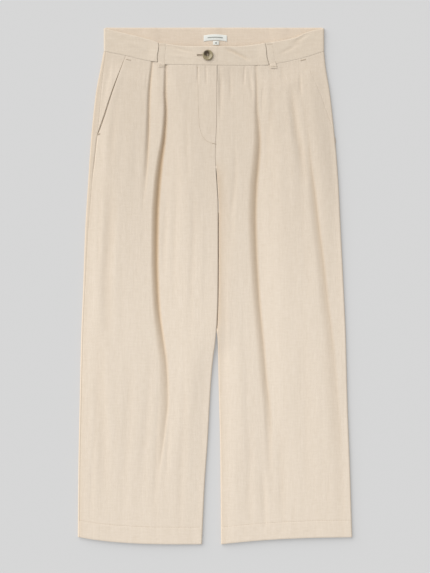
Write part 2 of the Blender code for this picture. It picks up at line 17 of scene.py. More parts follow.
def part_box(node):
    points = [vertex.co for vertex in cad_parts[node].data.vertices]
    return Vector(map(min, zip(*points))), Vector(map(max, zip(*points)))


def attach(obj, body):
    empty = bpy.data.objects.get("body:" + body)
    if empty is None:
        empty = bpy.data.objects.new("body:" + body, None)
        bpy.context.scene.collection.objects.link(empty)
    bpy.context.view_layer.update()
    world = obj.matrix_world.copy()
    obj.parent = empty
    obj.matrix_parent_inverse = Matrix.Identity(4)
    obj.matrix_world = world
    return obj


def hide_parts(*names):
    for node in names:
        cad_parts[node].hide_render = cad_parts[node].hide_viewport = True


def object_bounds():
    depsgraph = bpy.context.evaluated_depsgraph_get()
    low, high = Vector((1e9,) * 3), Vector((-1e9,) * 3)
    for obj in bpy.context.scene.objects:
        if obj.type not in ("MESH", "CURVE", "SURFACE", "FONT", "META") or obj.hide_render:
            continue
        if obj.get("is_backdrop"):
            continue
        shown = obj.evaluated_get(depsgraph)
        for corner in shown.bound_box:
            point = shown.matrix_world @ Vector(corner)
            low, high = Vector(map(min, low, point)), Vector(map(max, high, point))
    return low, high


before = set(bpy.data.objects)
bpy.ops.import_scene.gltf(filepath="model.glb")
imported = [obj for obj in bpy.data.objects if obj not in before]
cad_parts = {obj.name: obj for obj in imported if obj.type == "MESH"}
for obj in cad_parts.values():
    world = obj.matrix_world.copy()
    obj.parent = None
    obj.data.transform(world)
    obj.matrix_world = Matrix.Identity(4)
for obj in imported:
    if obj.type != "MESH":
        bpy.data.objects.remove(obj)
cad_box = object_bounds()
MM = 0.001


def in_mm(node):
    """A node's lowest and highest corner, in millimetres."""
    low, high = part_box(node)
    return np.array(low) / MM, np.array(high) / MM


HEM_Y = in_mm("front_right")[0][1]
TOP_Y = in_mm("waistband_back")[1][1]
WAIST_Y = 385.0        # the waist seam at centre front
BACK_WAIST_Y = in_mm("back_left")[1][1]
print("box", [round(c, 4) for corner in cad_box for c in corner], "hem", HEM_Y, "top", TOP_Y)

# %% [markdown]
# ## Smooth curves and uneven ripples
# A pattern maker marks an edge at a few heights and draws one smooth line through the marks. `curve` does
# that for whole arrays at once, with no overshoot between marks. `uneven` gives soft random hills that are
# the same on each run, for the small ripples that no table could list.

# %% Curves, steps and ripples
def smooth(t):
    """0 below 0, 1 above 1, and a soft S between."""
    t = np.clip(t, 0.0, 1.0)
    return t * t * (3.0 - 2.0 * t)


def curve(at, stations, values):
    """A smooth curve through values at stations, flat wherever the marks turn back."""
    order = np.argsort(stations)
    s = np.asarray(stations, float)[order]
    v = np.asarray(values, float)[order]
    at = np.clip(np.asarray(at, float), s[0], s[-1])
    rise = np.diff(v) / np.diff(s)
    turning = rise[:-1] * rise[1:] <= 0.0
    total = np.where(turning, 1.0, rise[:-1] + rise[1:])
    inner = np.where(turning, 0.0, 2.0 * rise[:-1] * rise[1:] / total)
    slope = np.concatenate(([rise[0]], inner, [rise[-1]]))
    i = np.clip(np.searchsorted(s, at, side="right") - 1, 0, len(s) - 2)
    step = s[i + 1] - s[i]
    t = (at - s[i]) / step
    return ((1 + 2 * t) * (1 - t) ** 2 * v[i] + t * (1 - t) ** 2 * step * slope[i]
            + t * t * (3 - 2 * t) * v[i + 1] - t * t * (1 - t) * step * slope[i + 1])


def read(rows, name, at):
    """A table's column at a station; the first column holds the stations."""
    return curve(at, [row[0] for row in rows], [getattr(row, name) for row in rows])


HILLS = (67, 61)       # how many hills there are across and along before they repeat


def uneven(x, y, across, length, seed):
    """Soft random hills from -1 to 1, about `across` wide and `length` long."""
    hills = np.random.default_rng(seed).uniform(-1.0, 1.0, HILLS)
    gx = (x + 0.4 * across * np.sin(y / length + seed)) / across + 31.7
    gy = y / length + 23.3
    ix, iy = np.floor(gx).astype(int), np.floor(gy).astype(int)
    fx, fy = smooth(gx - ix), smooth(gy - iy)
    corner = lambda i, j: hills[(ix + i) % HILLS[0], (iy + j) % HILLS[1]]
    low = corner(0, 0) * (1 - fx) + corner(1, 0) * fx
    high = corner(0, 1) * (1 - fx) + corner(1, 1) * fx
    return low * (1 - fy) + high * fy


turned_back = curve([0, 0.5, 1, 1.5, 2], (0, 1, 2), (0, 1, 0))
print("curve through 0, 1, 0:", [round(float(v), 2) for v in turned_back])

# %% [markdown]
# ## The outline
# Each leg is a tube pressed flat, so its outline is two small folds: one along the side and one along the
# inner edge. The tables give where they lie at a few heights, how high the cloth crowns between them, and
# how far the right side seam has rolled in from its fold. Below the fly, the right leg laps over the left.

# %% Outline tables
WALL = 1.1             # thickness of a leg panel
HIP_WALL = 1.0
BAND_WALL = 1.8
SIDE_RADIUS = 2.6      # of the small fold along a leg's side
SEAM_GAP = 0.08        # between sewn pieces
WAIST_GAP = 0.18       # at the waist seam, which reads as a line
CROTCH_Y = 150.0       # the legs part here, and the right one rides on the left one below
SIDE = {"right": -1.0, "left": 1.0}

Side = namedtuple("Side", "y right left roll right_crown left_crown")
SIDES = [
    Side(411.0, -194.5, 191.0, 1.0, 6.3, 6.3),
    Side(385.0, -199.5, 193.5, 3.0, 7.2, 7.0),
    Side(340.0, -208.0, 200.8, 6.5, 8.4, 8.2),
    Side(290.0, -213.8, 206.5, 8.5, 9.2, 9.0),
    Side(235.0, -218.5, 212.0, 7.0, 9.4, 9.4),
    Side(180.0, -222.0, 216.0, 4.5, 9.4, 9.4),
    Side(100.0, -227.0, 220.0, 3.0, 9.0, 9.2),
    Side(0.0, -230.5, 225.0, 1.2, 8.4, 8.6),
    Side(-85.0, -234.0, 228.8, 1.0, 7.8, 8.0),
    Side(-200.0, -236.6, 231.8, 1.0, 7.0, 7.2),
    Side(-320.0, -239.0, 236.2, 1.0, 6.4, 6.6),
    Side(-451.2, -240.0, 240.3, 1.0, 5.9, 6.1),
]
Inner = namedtuple("Inner", "y right left right_top right_base left_top left_base left_ramp")
INNERS = [  # ramp is how far the left panel takes to climb out from under the right one
    Inner(411.0, 4.0, -8.0, 9.0, 5.8, 5.5, 2.9, 9.0),
    Inner(290.0, 2.8, -9.0, 9.0, 5.8, 5.5, 2.9, 9.0),
    Inner(228.0, 0.6, -9.0, 9.0, 5.8, 5.5, 2.9, 12.0),
    Inner(204.0, 1.6, 2.2, 9.0, 5.8, 5.5, 2.9, 15.0),
    Inner(170.0, 4.0, 4.6, 9.0, 5.8, 5.2, 2.5, 20.0),
    Inner(150.0, 5.2, 5.8, 9.0, 5.3, 4.8, 1.4, 24.0),
    Inner(135.0, 5.5, 6.1, 8.9, 4.6, 4.2, 0.0, 28.0),
    Inner(110.0, 5.6, -1.5, 8.9, 4.6, 4.2, 0.0, 32.0),
    Inner(60.0, 5.6, -4.5, 8.9, 4.6, 4.2, 0.0, 34.0),
    Inner(-20.0, 5.0, -4.0, 8.9, 4.6, 4.2, 0.0, 34.0),
    Inner(-60.0, 3.6, -0.5, 8.9, 4.6, 4.2, 0.0, 34.0),
    Inner(-95.0, 1.0, 4.6, 8.2, 3.8, 4.3, 0.0, 34.0),
    Inner(-130.0, -3.5, 5.4, 6.6, 1.9, 4.7, 0.0, 32.0),
    Inner(-165.0, -6.6, 6.2, 5.4, 0.4, 5.0, 0.0, 30.0),
    Inner(-200.0, -8.8, 7.0, 5.0, 0.0, 5.0, 0.0, 28.0),
    Inner(-270.0, -12.6, 8.8, 5.0, 0.0, 5.0, 0.0, 26.0),
    Inner(-340.0, -17.5, 9.6, 5.0, 0.0, 5.0, 0.0, 26.0),
    Inner(-451.2, -22.8, 10.6, 5.0, 0.0, 5.0, 0.0, 26.0),
]
Waist = namedtuple("Waist", "x seam_y top_y height")
WAIST = [  # the front waistband: its seam with the panels, its upper edge, and how high it lies
    Waist(-194.0, 410.6, 450.6, 5.6),
    Waist(-156.0, 402.8, 441.4, 6.0),
    Waist(-114.0, 393.2, 430.8, 6.4),
    Waist(-97.0, 391.0, 425.0, 6.8),
    Waist(-86.0, 387.0, 423.2, 7.0),
    Waist(-52.0, 386.6, 419.4, 8.2),
    Waist(-31.0, 386.1, 418.8, 9.3),
    Waist(4.0, 385.6, 418.5, 9.3),
    Waist(35.0, 385.4, 418.6, 8.4),
    Waist(58.0, 385.3, 420.4, 7.6),
    Waist(87.0, 385.8, 424.6, 7.0),
    Waist(117.0, 390.6, 429.3, 6.5),
    Waist(140.0, 395.4, 434.4, 6.3),
    Waist(163.0, 401.6, 444.6, 6.0),
    Waist(191.0, 410.6, 450.6, 5.6),
]
HEM_RISES = {"right": 13.0, "left": 12.2}


def side_fold_x(leg, y):
    return read(SIDES, leg, y) - SIDE[leg] * SIDE_RADIUS


def inner_radius(leg, y):
    return (read(INNERS, leg + "_top", y) - read(INNERS, leg + "_base", y)) / 2


def inner_fold_x(leg, y):
    return read(INNERS, leg, y) + SIDE[leg] * inner_radius(leg, y)


def hem_edge(leg, x):
    """The hem's edge, which rises slowly towards the leg's outer side."""
    inner, outer = read(INNERS, leg, HEM_Y), read(SIDES, leg, HEM_Y)
    t = np.clip((x - inner) / (outer - inner), 0, 1)
    lift = t ** 3.3 if leg == "right" else 1.0 - (1.0 - t) ** 2.3
    return HEM_Y + HEM_RISES[leg] * lift


hem_ends = [float(read(table, "right", HEM_Y)) for table in (SIDES, INNERS)]
print("right leg at the hem, mm:", hem_ends[0], "to", hem_ends[1])

# %% [markdown]
# ## Pleats and creases, placed one by one
# The two pressed pleats on each side are steps: the cloth nearer the side seam rolls over and drops steeply,
# then climbs back slowly. A table row gives the height along the leg, where the deepest line is, how deep,
# and how wide its left and right walls are. The softer creases are single lines that fade at both ends;
# a negative depth makes a ridge. No two are alike, because cloth that was worn and pressed never is.

# %% Tables of pleats and creases
Mark = namedtuple("Mark", "y x depth left right")
PLEATS = {
    ("right", "main"): [
        Mark(387, -86.0, 1.5, 3.4, 5), Mark(337, -87.0, 3.0, 4.2, 12), Mark(308, -85.7, 3.8, 4.8, 16),
        Mark(264, -88.0, 5.0, 6.5, 20), Mark(215, -94.0, 6.2, 9.0, 24), Mark(174, -98.0, 6.6, 10.0, 26),
        Mark(119, -101.0, 6.6, 10.5, 28), Mark(46, -101.8, 6.2, 10.5, 30), Mark(-24, -99.5, 5.3, 10.5, 30),
        Mark(-52, -97.0, 4.7, 11.0, 28), Mark(-94, -91.0, 3.7, 12.0, 26), Mark(-147, -84.5, 2.8, 13.0, 24),
        Mark(-199, -83.0, 2.2, 14.0, 22), Mark(-252, -88.0, 1.6, 13.0, 18), Mark(-346, -100.0, 0.3, 12.0, 12),
        Mark(-452, -104.0, 0.0, 12.0, 12)],
    ("right", "outer"): [
        Mark(392, -109.5, 1.4, 3.0, 4), Mark(337, -115.0, 2.8, 3.6, 9), Mark(267, -116.6, 3.0, 5.0, 14),
        Mark(215, -118.6, 1.9, 7.0, 18), Mark(165, -122.5, 0.5, 9.0, 18), Mark(120, -127.0, 0.0, 9.0, 18),
        Mark(46, -132.0, 0.0, 9.0, 18), Mark(-452, -139.0, 0.0, 9.0, 18)],
    ("left", "main"): [
        Mark(387, 70.8, 1.1, 2.4, 5), Mark(346, 72.5, 2.2, 3.6, 9), Mark(314, 73.0, 3.2, 5.5, 12),
        Mark(279, 76.0, 4.4, 9.0, 15), Mark(250, 77.5, 5.4, 11.0, 18), Mark(209, 75.0, 6.2, 12.5, 20),
        Mark(174, 72.0, 6.4, 13.0, 22), Mark(119, 70.4, 6.4, 13.0, 24), Mark(60, 72.0, 6.2, 12.5, 24),
        Mark(16, 74.2, 6.0, 12.0, 24), Mark(-24, 76.8, 5.4, 12.0, 24), Mark(-59, 80.0, 4.8, 12.0, 22),
        Mark(-105, 84.5, 4.3, 12.0, 20), Mark(-164, 89.5, 3.7, 12.0, 18), Mark(-213, 95.0, 2.6, 11.0, 16),
        Mark(-300, 99.0, 0.5, 11.0, 14), Mark(-452, 104.0, 0.0, 11.0, 14)],
    ("left", "long"): [
        Mark(392, 131.0, 0.0, 6.0, 12), Mark(290, 160.0, 0.5, 6.0, 12), Mark(209, 167.5, 2.6, 6.5, 14),
        Mark(174, 172.5, 3.8, 7.5, 16), Mark(110, 180.0, 4.3, 8.5, 18), Mark(40, 189.0, 4.1, 9.5, 18),
        Mark(-24, 196.0, 3.5, 11.0, 18), Mark(-77, 203.0, 2.8, 14.0, 16), Mark(-147, 210.0, 2.0, 20.0, 14),
        Mark(-234, 216.5, 1.4, 20.0, 12), Mark(-322, 221.0, 0.6, 18.0, 10), Mark(-452, 225.0, 0.3, 16.0, 10)],
}

Crease = namedtuple("Crease", "leg x1 y1 x2 y2 sway depth left right")
CREASES = [
    Crease("right", -118, 380, -120, 338, 0, 0.5, 3, 3),
    Crease("right", -30.6, 396, -30.0, 352, 0, 1.2, 2.0, 1.8),
    Crease("right", -16, 394, -15, 350, 0, 1.1, 2, 2),
    Crease("right", -182, 405, -196, 300, 1, 0.35, 6, 6),
    Crease("right", -173, 402, -178, 330, 0, 0.25, 5, 6),
    Crease("right", -188, 205, -186, -95, 3, 1.5, 15, 17),
    Crease("right", -200, 190, -202, 20, 1, 0.5, 6, 5),
    Crease("right", -199, -60, -196, -400, -3, 1.0, 17, 15),
    Crease("right", -208, -150, -216, -440, 2, 0.4, 6, 8),
    Crease("right", -176, 330, -182, 190, 2, 0.7, 9, 10),
    Crease("right", -150, 300, -152, 150, 1, -0.5, 14, 16),
    Crease("right", -86, 165, -90, 25, 1, 0.5, 6, 8),
    Crease("right", -68, 250, -70, -30, 2, 0.5, 9, 10),
    Crease("right", -38, 190, -42, -120, 2, 0.5, 8, 9),
    Crease("right", -52, 330, -46, 170, 0, 0.4, 7, 7),
    Crease("right", -22, 130, -24, -60, 1, -0.4, 10, 8),
    Crease("right", -111, -90, -128, -390, 2, 0.55, 11, 13),
    Crease("right", -97, -190, -108, -390, -1, 0.45, 6, 7),
    Crease("right", -80, -230, -86, -345, 0, 0.5, 6, 8),
    Crease("right", -52, -150, -60, -430, 1, 0.5, 11, 12),
    Crease("right", -150, -120, -156, -420, 3, 0.5, 14, 14),
    Crease("left", 59, 382, 66, 322, 0, 0.8, 5, 5),
    Crease("left", 98, 372, 92, 200, 3, 0.9, 5, 7),
    Crease("left", 106, 330, 102, 110, 1, 0.4, 7, 9),
    Crease("left", 116, 386, 120, 352, 0, 0.8, 3, 4),
    Crease("left", 148, 372, 150, 330, 0, 0.7, 5, 5),
    Crease("left", 133, 352, 155, 170, -2, 2.4, 7, 10),
    Crease("left", 126, 352, 140, 120, 0, -0.7, 9, 8),
    Crease("left", 148, 190, 166, -20, 0, 0.7, 7, 9),
    Crease("left", 26, 384, 28, 320, 0, 0.5, 4, 5),
    Crease("left", 8, 392, 9, 290, 0, 0.8, 3, 8),
    Crease("left", 52, 392, 50, 350, 0, 0.7, 2.5, 3),
    Crease("left", 84, 384, 83, 300, 1, 0.6, 3, 4),
    Crease("left", 34, 250, 30, 70, 2, 0.5, 7, 8),
    Crease("left", 18, 20, 17, -180, 0, 0.5, 9, 8),
    Crease("left", 40, -40, 50, -330, 1, -0.6, 13, 13),
    Crease("left", 86, -150, 96, -330, 0, 0.8, 6, 7),
    Crease("left", 117, -230, 121, -430, 1, 1.0, 9, 7),
    Crease("left", 84, -320, 88, -430, 0, 0.6, 8, 8),
    Crease("left", 150, -60, 168, -360, 2, 0.5, 14, 15),
    Crease("left", 60, -230, 62, -420, 1, 0.5, 10, 10),
]
BACK_CREASES = [
    Crease("right", -150, 360, -170, 60, 4, -0.9, 18, 16),
    Crease("right", -90, 300, -82, -40, -4, -1.1, 16, 20),
    Crease("right", -190, 60, -200, -300, 3, -0.8, 16, 14),
    Crease("right", -60, -60, -70, -380, 4, -0.9, 15, 19),
    Crease("right", -130, -110, -140, -410, -3, -0.8, 18, 15),
    Crease("right", -40, 250, -50, 60, 2, -0.7, 12, 13),
    Crease("left", 60, 340, 52, 20, 4, -1.0, 16, 18),
    Crease("left", 120, 370, 150, 120, -3, -0.9, 17, 15),
    Crease("left", 180, 200, 196, -160, 3, -0.8, 15, 16),
    Crease("left", 90, 20, 96, -330, -4, -1.1, 18, 16),
    Crease("left", 150, -130, 164, -410, 3, -0.8, 16, 17),
    Crease("left", 40, -120, 46, -400, 2, -0.7, 13, 14),
]
print(len(PLEATS), "pressed pleats,", len(CREASES), "creases in front and", len(BACK_CREASES), "behind")


# %% Depth of pleats and creases
def wall_reach(distance, left, right):
    """1 on a crease's line and 0 past its walls."""
    return np.clip(1.0 - np.abs(distance) / np.where(distance < 0.0, left, right), 0.0, 1.0)


def pleat_x(leg, name, y):
    return read(PLEATS[leg, name], "x", y)


def pleats_of(leg):
    return [marks for (owner, _name), marks in PLEATS.items() if owner == leg]


PLEAT_STEEP, PLEAT_EASE = 0.95, 2.0    # how the walls' widths are scaled: the fold's side, and the easy side
PLEAT_DEPTH = {"right": 1.15, "left": 0.8}
LIP_SHARE, LIP_WIDTH = 0.28, 3.5       # this share of the right leg's easy side comes in its first few mm
CUT_IN = 0.3                           # and the upper part of its lines is cut in deeper by this share


def pleat_drop(leg, x, y):
    """How far the pressed pleats take the cloth down."""
    drop = 0.0
    for marks in pleats_of(leg):
        past = x - read(marks, "x", y)
        left = PLEAT_STEEP * read(marks, "left", y)
        right = PLEAT_EASE * read(marks, "right", y)
        reach = wall_reach(past, left, right)
        depth = PLEAT_DEPTH[leg] * read(marks, "depth", y)
        easy = reach ** 1.35
        if leg == "right":
            easy = (1.0 - LIP_SHARE) * easy + LIP_SHARE * np.clip(1.0 - past / LIP_WIDTH, 0.0, 1.0)
        drop = drop + depth * np.where(past < 0.0, reach ** 1.6, easy)
        if leg == "right":
            upper = smooth((y - 20.0) / 150.0)
            drop = drop + CUT_IN * depth * upper * np.exp(-((past + 0.5) / 0.9) ** 2)
    return drop


def crease_drop(creases, leg, x, y):
    """How far the softer creases take it down, each fading at both its ends."""
    drop = 0.0
    for crease in creases:
        if crease.leg == leg:
            t = np.clip((y - crease.y1) / (crease.y2 - crease.y1), 0.0, 1.0)
            line = crease.x1 + (crease.x2 - crease.x1) * t + crease.sway * np.sin(2 * math.pi * t)
            fade = np.sin(math.pi * t) ** 0.7
            drop = drop + crease.depth * fade * smooth(wall_reach(x - line, crease.left, crease.right))
    return drop


knee_pleat = float(pleat_drop("right", np.float64(-98.0), np.float64(0.0)))
print("the right leg's main pleat at y 0, mm deep:", round(knee_pleat, 2))

# %% [markdown]
# ## Shade painted between the folds
# Each point of a sheet keeps a painted shade from 0 to 1, which the cloth's material reads as an attribute
# and
# turns into a darker, warmer colour: it paints the shade, and the warm light bounced from cloth to cloth,
# that fall between folds. It is highest along the pleats' deepest lines and beside the right leg's edge below
# the fly, where it paints that edge's shadow, and faint along creases and along the folded edges on the
# wearer's right, which face the light and are painted a shade darker.

# %% Painted shade of the folds
# Painted shade: how dark the folded edges facing the light, the creases, and the cloth beside the right leg's
# edge below the fly are painted.
EDGE_PAINTED_SHADE, CREASE_PAINTED_SHADE, BELOW_FLY_PAINTED_SHADOW = 0.32, 0.09, 0.5
PLEAT_PAINTED_SHADE = {"right": 0.18, "left": 0.11}    # for each millimetre of a pleat's depth


def painted_edge_shade(leg, x, y):
    """Painted shade on the folded edges on the wearer's right side of each leg, the side that faces the
    light.
    """
    edge = read(SIDES, "right", y) if leg == "right" else read(INNERS, "left", y)
    shown = 1.0 if leg == "right" else smooth((-80.0 - y) / 30.0)
    return EDGE_PAINTED_SHADE * shown * np.exp(-np.clip(x - edge, 0.0, None) / 6.0)


def painted_fold_shade(leg, x, y):
    """Painted shade between the folds, from 0 to 1: the material turns the cloth's colour darker and warmer
    there.
    """
    painted_shade = CREASE_PAINTED_SHADE * np.clip(crease_drop(CREASES, leg, x, y), 0.0, None) + painted_edge_shade(leg, x, y)
    for marks in pleats_of(leg):
        past = x - read(marks, "x", y)
        reach = wall_reach(past, 1.1 * read(marks, "left", y), 5.0)
        painted_shade = painted_shade + PLEAT_PAINTED_SHADE[leg] * read(marks, "depth", y) * reach
    if leg == "left":
        below_fly = smooth((228.0 - y) / 40.0) * smooth((y + 120.0) / 70.0)
        past = x - read(INNERS, "right", y) - 2.0
        beside = np.exp(-np.clip(past, 0.0, None) / 8.0)
        painted_shade = painted_shade + BELOW_FLY_PAINTED_SHADOW * below_fly * smooth(1.0 + past / 1.5) * beside
    return np.clip(painted_shade, 0.0, 1.0)


deepest_painted_shade = float(painted_fold_shade("right", np.float64(-98.0), np.float64(174.0)))
print("tone on the right leg's main pleat, under the hip:", round(deepest_painted_shade, 2))

# %% [markdown]
# ## Height of the front cloth
# The height of each front panel starts from its crown and falls to the small folds at both edges. Near the
# waist it blends to the height of the waistband. The left panel comes up close beside the right one's edge,
# so that no deep gap opens there. Then the pleats, creases and ripples are taken off, a groove marks the
# waist seam, and the turned-up hem makes the last stretch a little thicker. The deepest folds ease off at
# the bottom, near the layer below.

# %% Height functions
HEM_DEPTH = 30.0
LOWEST_FRONT, FOLD_EASE = 2.5, 0.5     # about how low the deepest folds go, and how softly they stop
LEG_CLOSE, FLY_CLOSE = 4.1, 3.35       # how far the left panel comes up beside the right leg, and the fly
CLOSE_WIDTH, FLY_NARROWER = 2.2, 1.9   # over how many mm it comes up, and how much sooner at the fly
SIDE_SLOPE, WAIST_SLOPE = 34.0, 42.0   # how far heights blend, in from a side's fold and down from the waist
RIPPLE_SEED = {"right": 11, "left": 23}


def at_fly(y):
    """1 along the fly, and 0 from just above the crotch down."""
    return smooth((y - 165.0) / 50.0)


def waist_height(leg, x):
    """The height at the waist seam: the left panel stays low until the right one's edge, then climbs."""
    height = read(WAIST, "height", x) - 0.12
    if leg == "left":
        under_fly = read(INNERS, "left_top", WAIST_Y)
        climb = 0.9 * smooth((x - 4.0) / 0.4) + 0.1 * smooth((x - 4.5) / 9.0)
        height = under_fly + (height - under_fly) * climb
    return height


def ripples(x, y, seed):
    """Wide, middle and small ripples together."""
    return (0.26 * uneven(x, y, 30.0, 130.0, seed) + 0.07 * uneven(x, y, 11.0, 60.0, seed + 1)
            + 0.035 * uneven(x, y, 6.0, 34.0, seed + 2))


def front_height(leg, x, y):
    """The height of a front panel's outer face, before its edges turn down round their folds."""
    x, y = np.broadcast_arrays(np.asarray(x, float), np.asarray(y, float))
    crown = read(SIDES, leg + "_crown", y)
    from_side = (side_fold_x(leg, y) - x) * SIDE[leg]
    start, ramp, edge = inner_fold_x(leg, y), 40.0, read(INNERS, leg + "_top", y)
    if leg == "left":
        start = np.maximum(start, read(INNERS, "right", y) + 0.5)
        ramp = read(INNERS, "left_ramp", y)
        close = (LEG_CLOSE + (FLY_CLOSE - LEG_CLOSE) * at_fly(y)) * smooth((y + 130.0) / 60.0)
        past_edge = x - read(INNERS, "right", y)
        edge = edge + close * smooth(past_edge / (CLOSE_WIDTH - FLY_NARROWER * at_fly(y)))
    from_inner = (x - start) * SIDE[leg]
    height = crown + (2 * SIDE_RADIUS - crown) * (1.0 - smooth(from_side / SIDE_SLOPE))
    height = height + (edge - crown) * (1.0 - smooth(from_inner / ramp))
    below = read(WAIST, "seam_y", x) - y
    waist = waist_height(leg, x)
    height = waist + (height - waist) * smooth(below / WAIST_SLOPE)
    inside = smooth(from_side / 8.0) * smooth(from_inner / 12.0)
    height = height - pleat_drop(leg, x, y)
    height = height - crease_drop(CREASES, leg, x, y) * smooth(below / 5.0)
    height = height + ripples(x, y, RIPPLE_SEED[leg]) * inside * smooth((below + 4.0) / 20.0)
    height = height - 0.12 * (1.0 - smooth(below / 1.5))
    above = y - hem_edge(leg, x)
    hem = 0.2 * (1.0 - smooth((above - HEM_DEPTH) / 2.5)) - 0.28 * np.exp(-((above - HEM_DEPTH) / 1.3) ** 2)
    height = height + hem - 0.5 * (1.0 - smooth(above / 1.6))
    return LOWEST_FRONT + FOLD_EASE * np.logaddexp(0.0, (height - LOWEST_FRONT) / FOLD_EASE)


knee_height = float(front_height("right", -150.0, -100.0))
print("front height at the knee of the right leg, mm:", round(knee_height, 2))

# %% [markdown]
# ## From an array of points to a sheet of cloth
# Each sheet starts as a bmesh grid. Its vertices are moved to the points worked out for its rows and
# columns, and Solidify gives the wall behind the outer face. The edges round the grid are marked sharp, so
# that each cut edge stays crisp instead of being shaded round into the wall. The UV map holds the flat
# pattern in metres, so that the weave runs along the cut cloth and turns with it round each fold.

# %% Making sheets
collection = bpy.context.scene.collection


def link(name, mesh, *materials):
    piece = bpy.data.objects.new(name, mesh)
    collection.objects.link(piece)
    for item in materials:
        mesh.materials.append(item)
    return piece


def sheet(name, x, y, z, u, v, wall, material, up=True, painted_shade=0.0):
    """A wall of cloth whose outer face runs through rows of points; u and v are its flat pattern, in mm."""
    rows, columns = x.shape
    shape = bmesh.new()
    bmesh.ops.create_grid(shape, x_segments=columns - 1, y_segments=rows - 1, size=1.0)
    for vertex, point in zip(shape.verts, np.stack((x, y, z), -1).reshape(-1, 3) * MM):
        vertex.co = point
    shape.normal_update()
    facing = sum(face.normal.z * face.calc_area() for face in shape.faces)
    if (facing > 0.0) != up:
        bmesh.ops.reverse_faces(shape, faces=shape.faces[:])
    for face in shape.faces:
        face.smooth = True
    for edge in shape.edges:
        edge.smooth = not edge.is_boundary
    mesh = bpy.data.meshes.new(name)
    shape.to_mesh(mesh)
    shape.free()
    corner = np.empty(len(mesh.loops), np.int32)
    mesh.loops.foreach_get("vertex_index", corner)
    pattern = np.stack((u, v), -1).reshape(-1, 2)[corner] * MM
    mesh.uv_layers.new(name="cloth").data.foreach_set("uv", pattern.astype(np.float32).ravel())
    # The painted shade of folds and edges, kept for each point as an attribute for the material.
    painted_shades = np.broadcast_to(painted_shade, x.shape).astype(np.float32).ravel()
    mesh.attributes.new("painted_fold_shade", "FLOAT", "POINT").data.foreach_set("value", painted_shades)
    piece = link(name, mesh, material)
    solid = piece.modifiers.new("wall", "SOLIDIFY")
    solid.thickness = wall * MM
    solid.offset = -1.0
    return piece


def declare(piece, nodes):
    """Rides the piece on the root, and hides the solid it replaces."""
    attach(piece, "root")
    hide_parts(*nodes)


# %% [markdown]
# ## Colour and feel of the cloth
# The cloth is a matte ecru cotton and linen with fine uneven crinkles along the warp and thicker slubs in
# both directions. One node group makes that pattern from the flat pattern's UV map: it puts out a tint, for
# the yarn's uneven colour, and a height in millimetres, for the bump. Each material then has its own colours.

# %% Node group for the crinkled weave
def new_group(name, inputs, outputs):
    tree = bpy.data.node_groups.new(name, "ShaderNodeTree")
    for label, kind, value in inputs:
        socket = tree.interface.new_socket(name=label, in_out="INPUT", socket_type=kind)
        if value is not None:
            socket.default_value = value
    for label, kind in outputs:
        tree.interface.new_socket(name=label, in_out="OUTPUT", socket_type=kind)
    return tree, tree.nodes.new("NodeGroupInput"), tree.nodes.new("NodeGroupOutput")


def feed(tree, socket, source):
    """Links a socket to another one, or sets it to a plain value."""
    if hasattr(source, "is_output"):
        tree.links.new(source, socket)
    else:
        socket.default_value = source


def calc(tree, operation, first, second=0.0, third=None):
    node = tree.nodes.new("ShaderNodeMath")
    node.operation = operation
    feed(tree, node.inputs[0], first)
    feed(tree, node.inputs[1], second)
    if third is not None:
        feed(tree, node.inputs[2], third)
    return node.outputs[0]


def streaks(tree, vector, width, length, detail=2.0):
    """Noise drawn out to hills of this width and length, in metres, along the cloth."""
    scale = tree.nodes.new("ShaderNodeVectorMath")
    scale.operation = "MULTIPLY"
    feed(tree, scale.inputs[0], vector)
    scale.inputs[1].default_value = (1.0 / width, 1.0 / length, 1.0)
    noise = tree.nodes.new("ShaderNodeTexNoise")
    feed(tree, noise.inputs["Vector"], scale.outputs[0])
    noise.inputs["Scale"].default_value = 1.0
    noise.inputs["Detail"].default_value = detail
    return noise.outputs["Fac"]


THREAD_SPACING = 0.00062    # metres
weave_tree, weave_in, weave_out = new_group(
    "crinkled weave",
    [("Vector", "NodeSocketVector", None),
     ("Crinkle", "NodeSocketFloat", 1.0),
     ("Weave", "NodeSocketFloat", 1.0)],
    [("Tint", "NodeSocketFloat"), ("Height", "NodeSocketFloat")])
place = weave_in.outputs["Vector"]
split = weave_tree.nodes.new("ShaderNodeSeparateXYZ")
weave_tree.links.new(place, split.inputs[0])
fine = streaks(weave_tree, place, 0.0021, 0.022)
middle = streaks(weave_tree, place, 0.0052, 0.055)
wide = streaks(weave_tree, place, 0.013, 0.14, 3.0)
warp_slub = streaks(weave_tree, place, 0.0026, 0.019, 1.0)
weft_slub = streaks(weave_tree, place, 0.013, 0.0029, 1.0)
turns = 2 * math.pi / THREAD_SPACING
warp = calc(weave_tree, "SINE", calc(weave_tree, "MULTIPLY_ADD", split.outputs["X"], turns, warp_slub))
weft = calc(weave_tree, "SINE", calc(weave_tree, "MULTIPLY_ADD", split.outputs["Y"], turns, weft_slub))
plain = calc(weave_tree, "MULTIPLY", warp, weft)
slubs = calc(weave_tree, "ADD", warp_slub, weft_slub)
crinkles = calc(weave_tree, "MULTIPLY_ADD", middle, 0.12, calc(weave_tree, "MULTIPLY", fine, 0.05))
crinkles = calc(weave_tree, "MULTIPLY_ADD", wide, 0.30, crinkles)
threads = calc(weave_tree, "MULTIPLY_ADD", plain, 0.03, calc(weave_tree, "MULTIPLY", slubs, 0.14))
height = calc(weave_tree, "MULTIPLY_ADD", crinkles, weave_in.outputs["Crinkle"],
              calc(weave_tree, "MULTIPLY", threads, weave_in.outputs["Weave"]))
weave_tree.links.new(height, weave_out.inputs["Height"])
tint = calc(weave_tree, "MULTIPLY_ADD", slubs, 0.65, calc(weave_tree, "MULTIPLY", middle, 0.35))
tint = calc(weave_tree, "MULTIPLY_ADD", wide, 0.35, tint)
weave_tree.links.new(calc(weave_tree, "SUBTRACT", tint, 0.5), weave_out.inputs["Tint"])
print("weave group holds", len(weave_tree.nodes), "nodes")


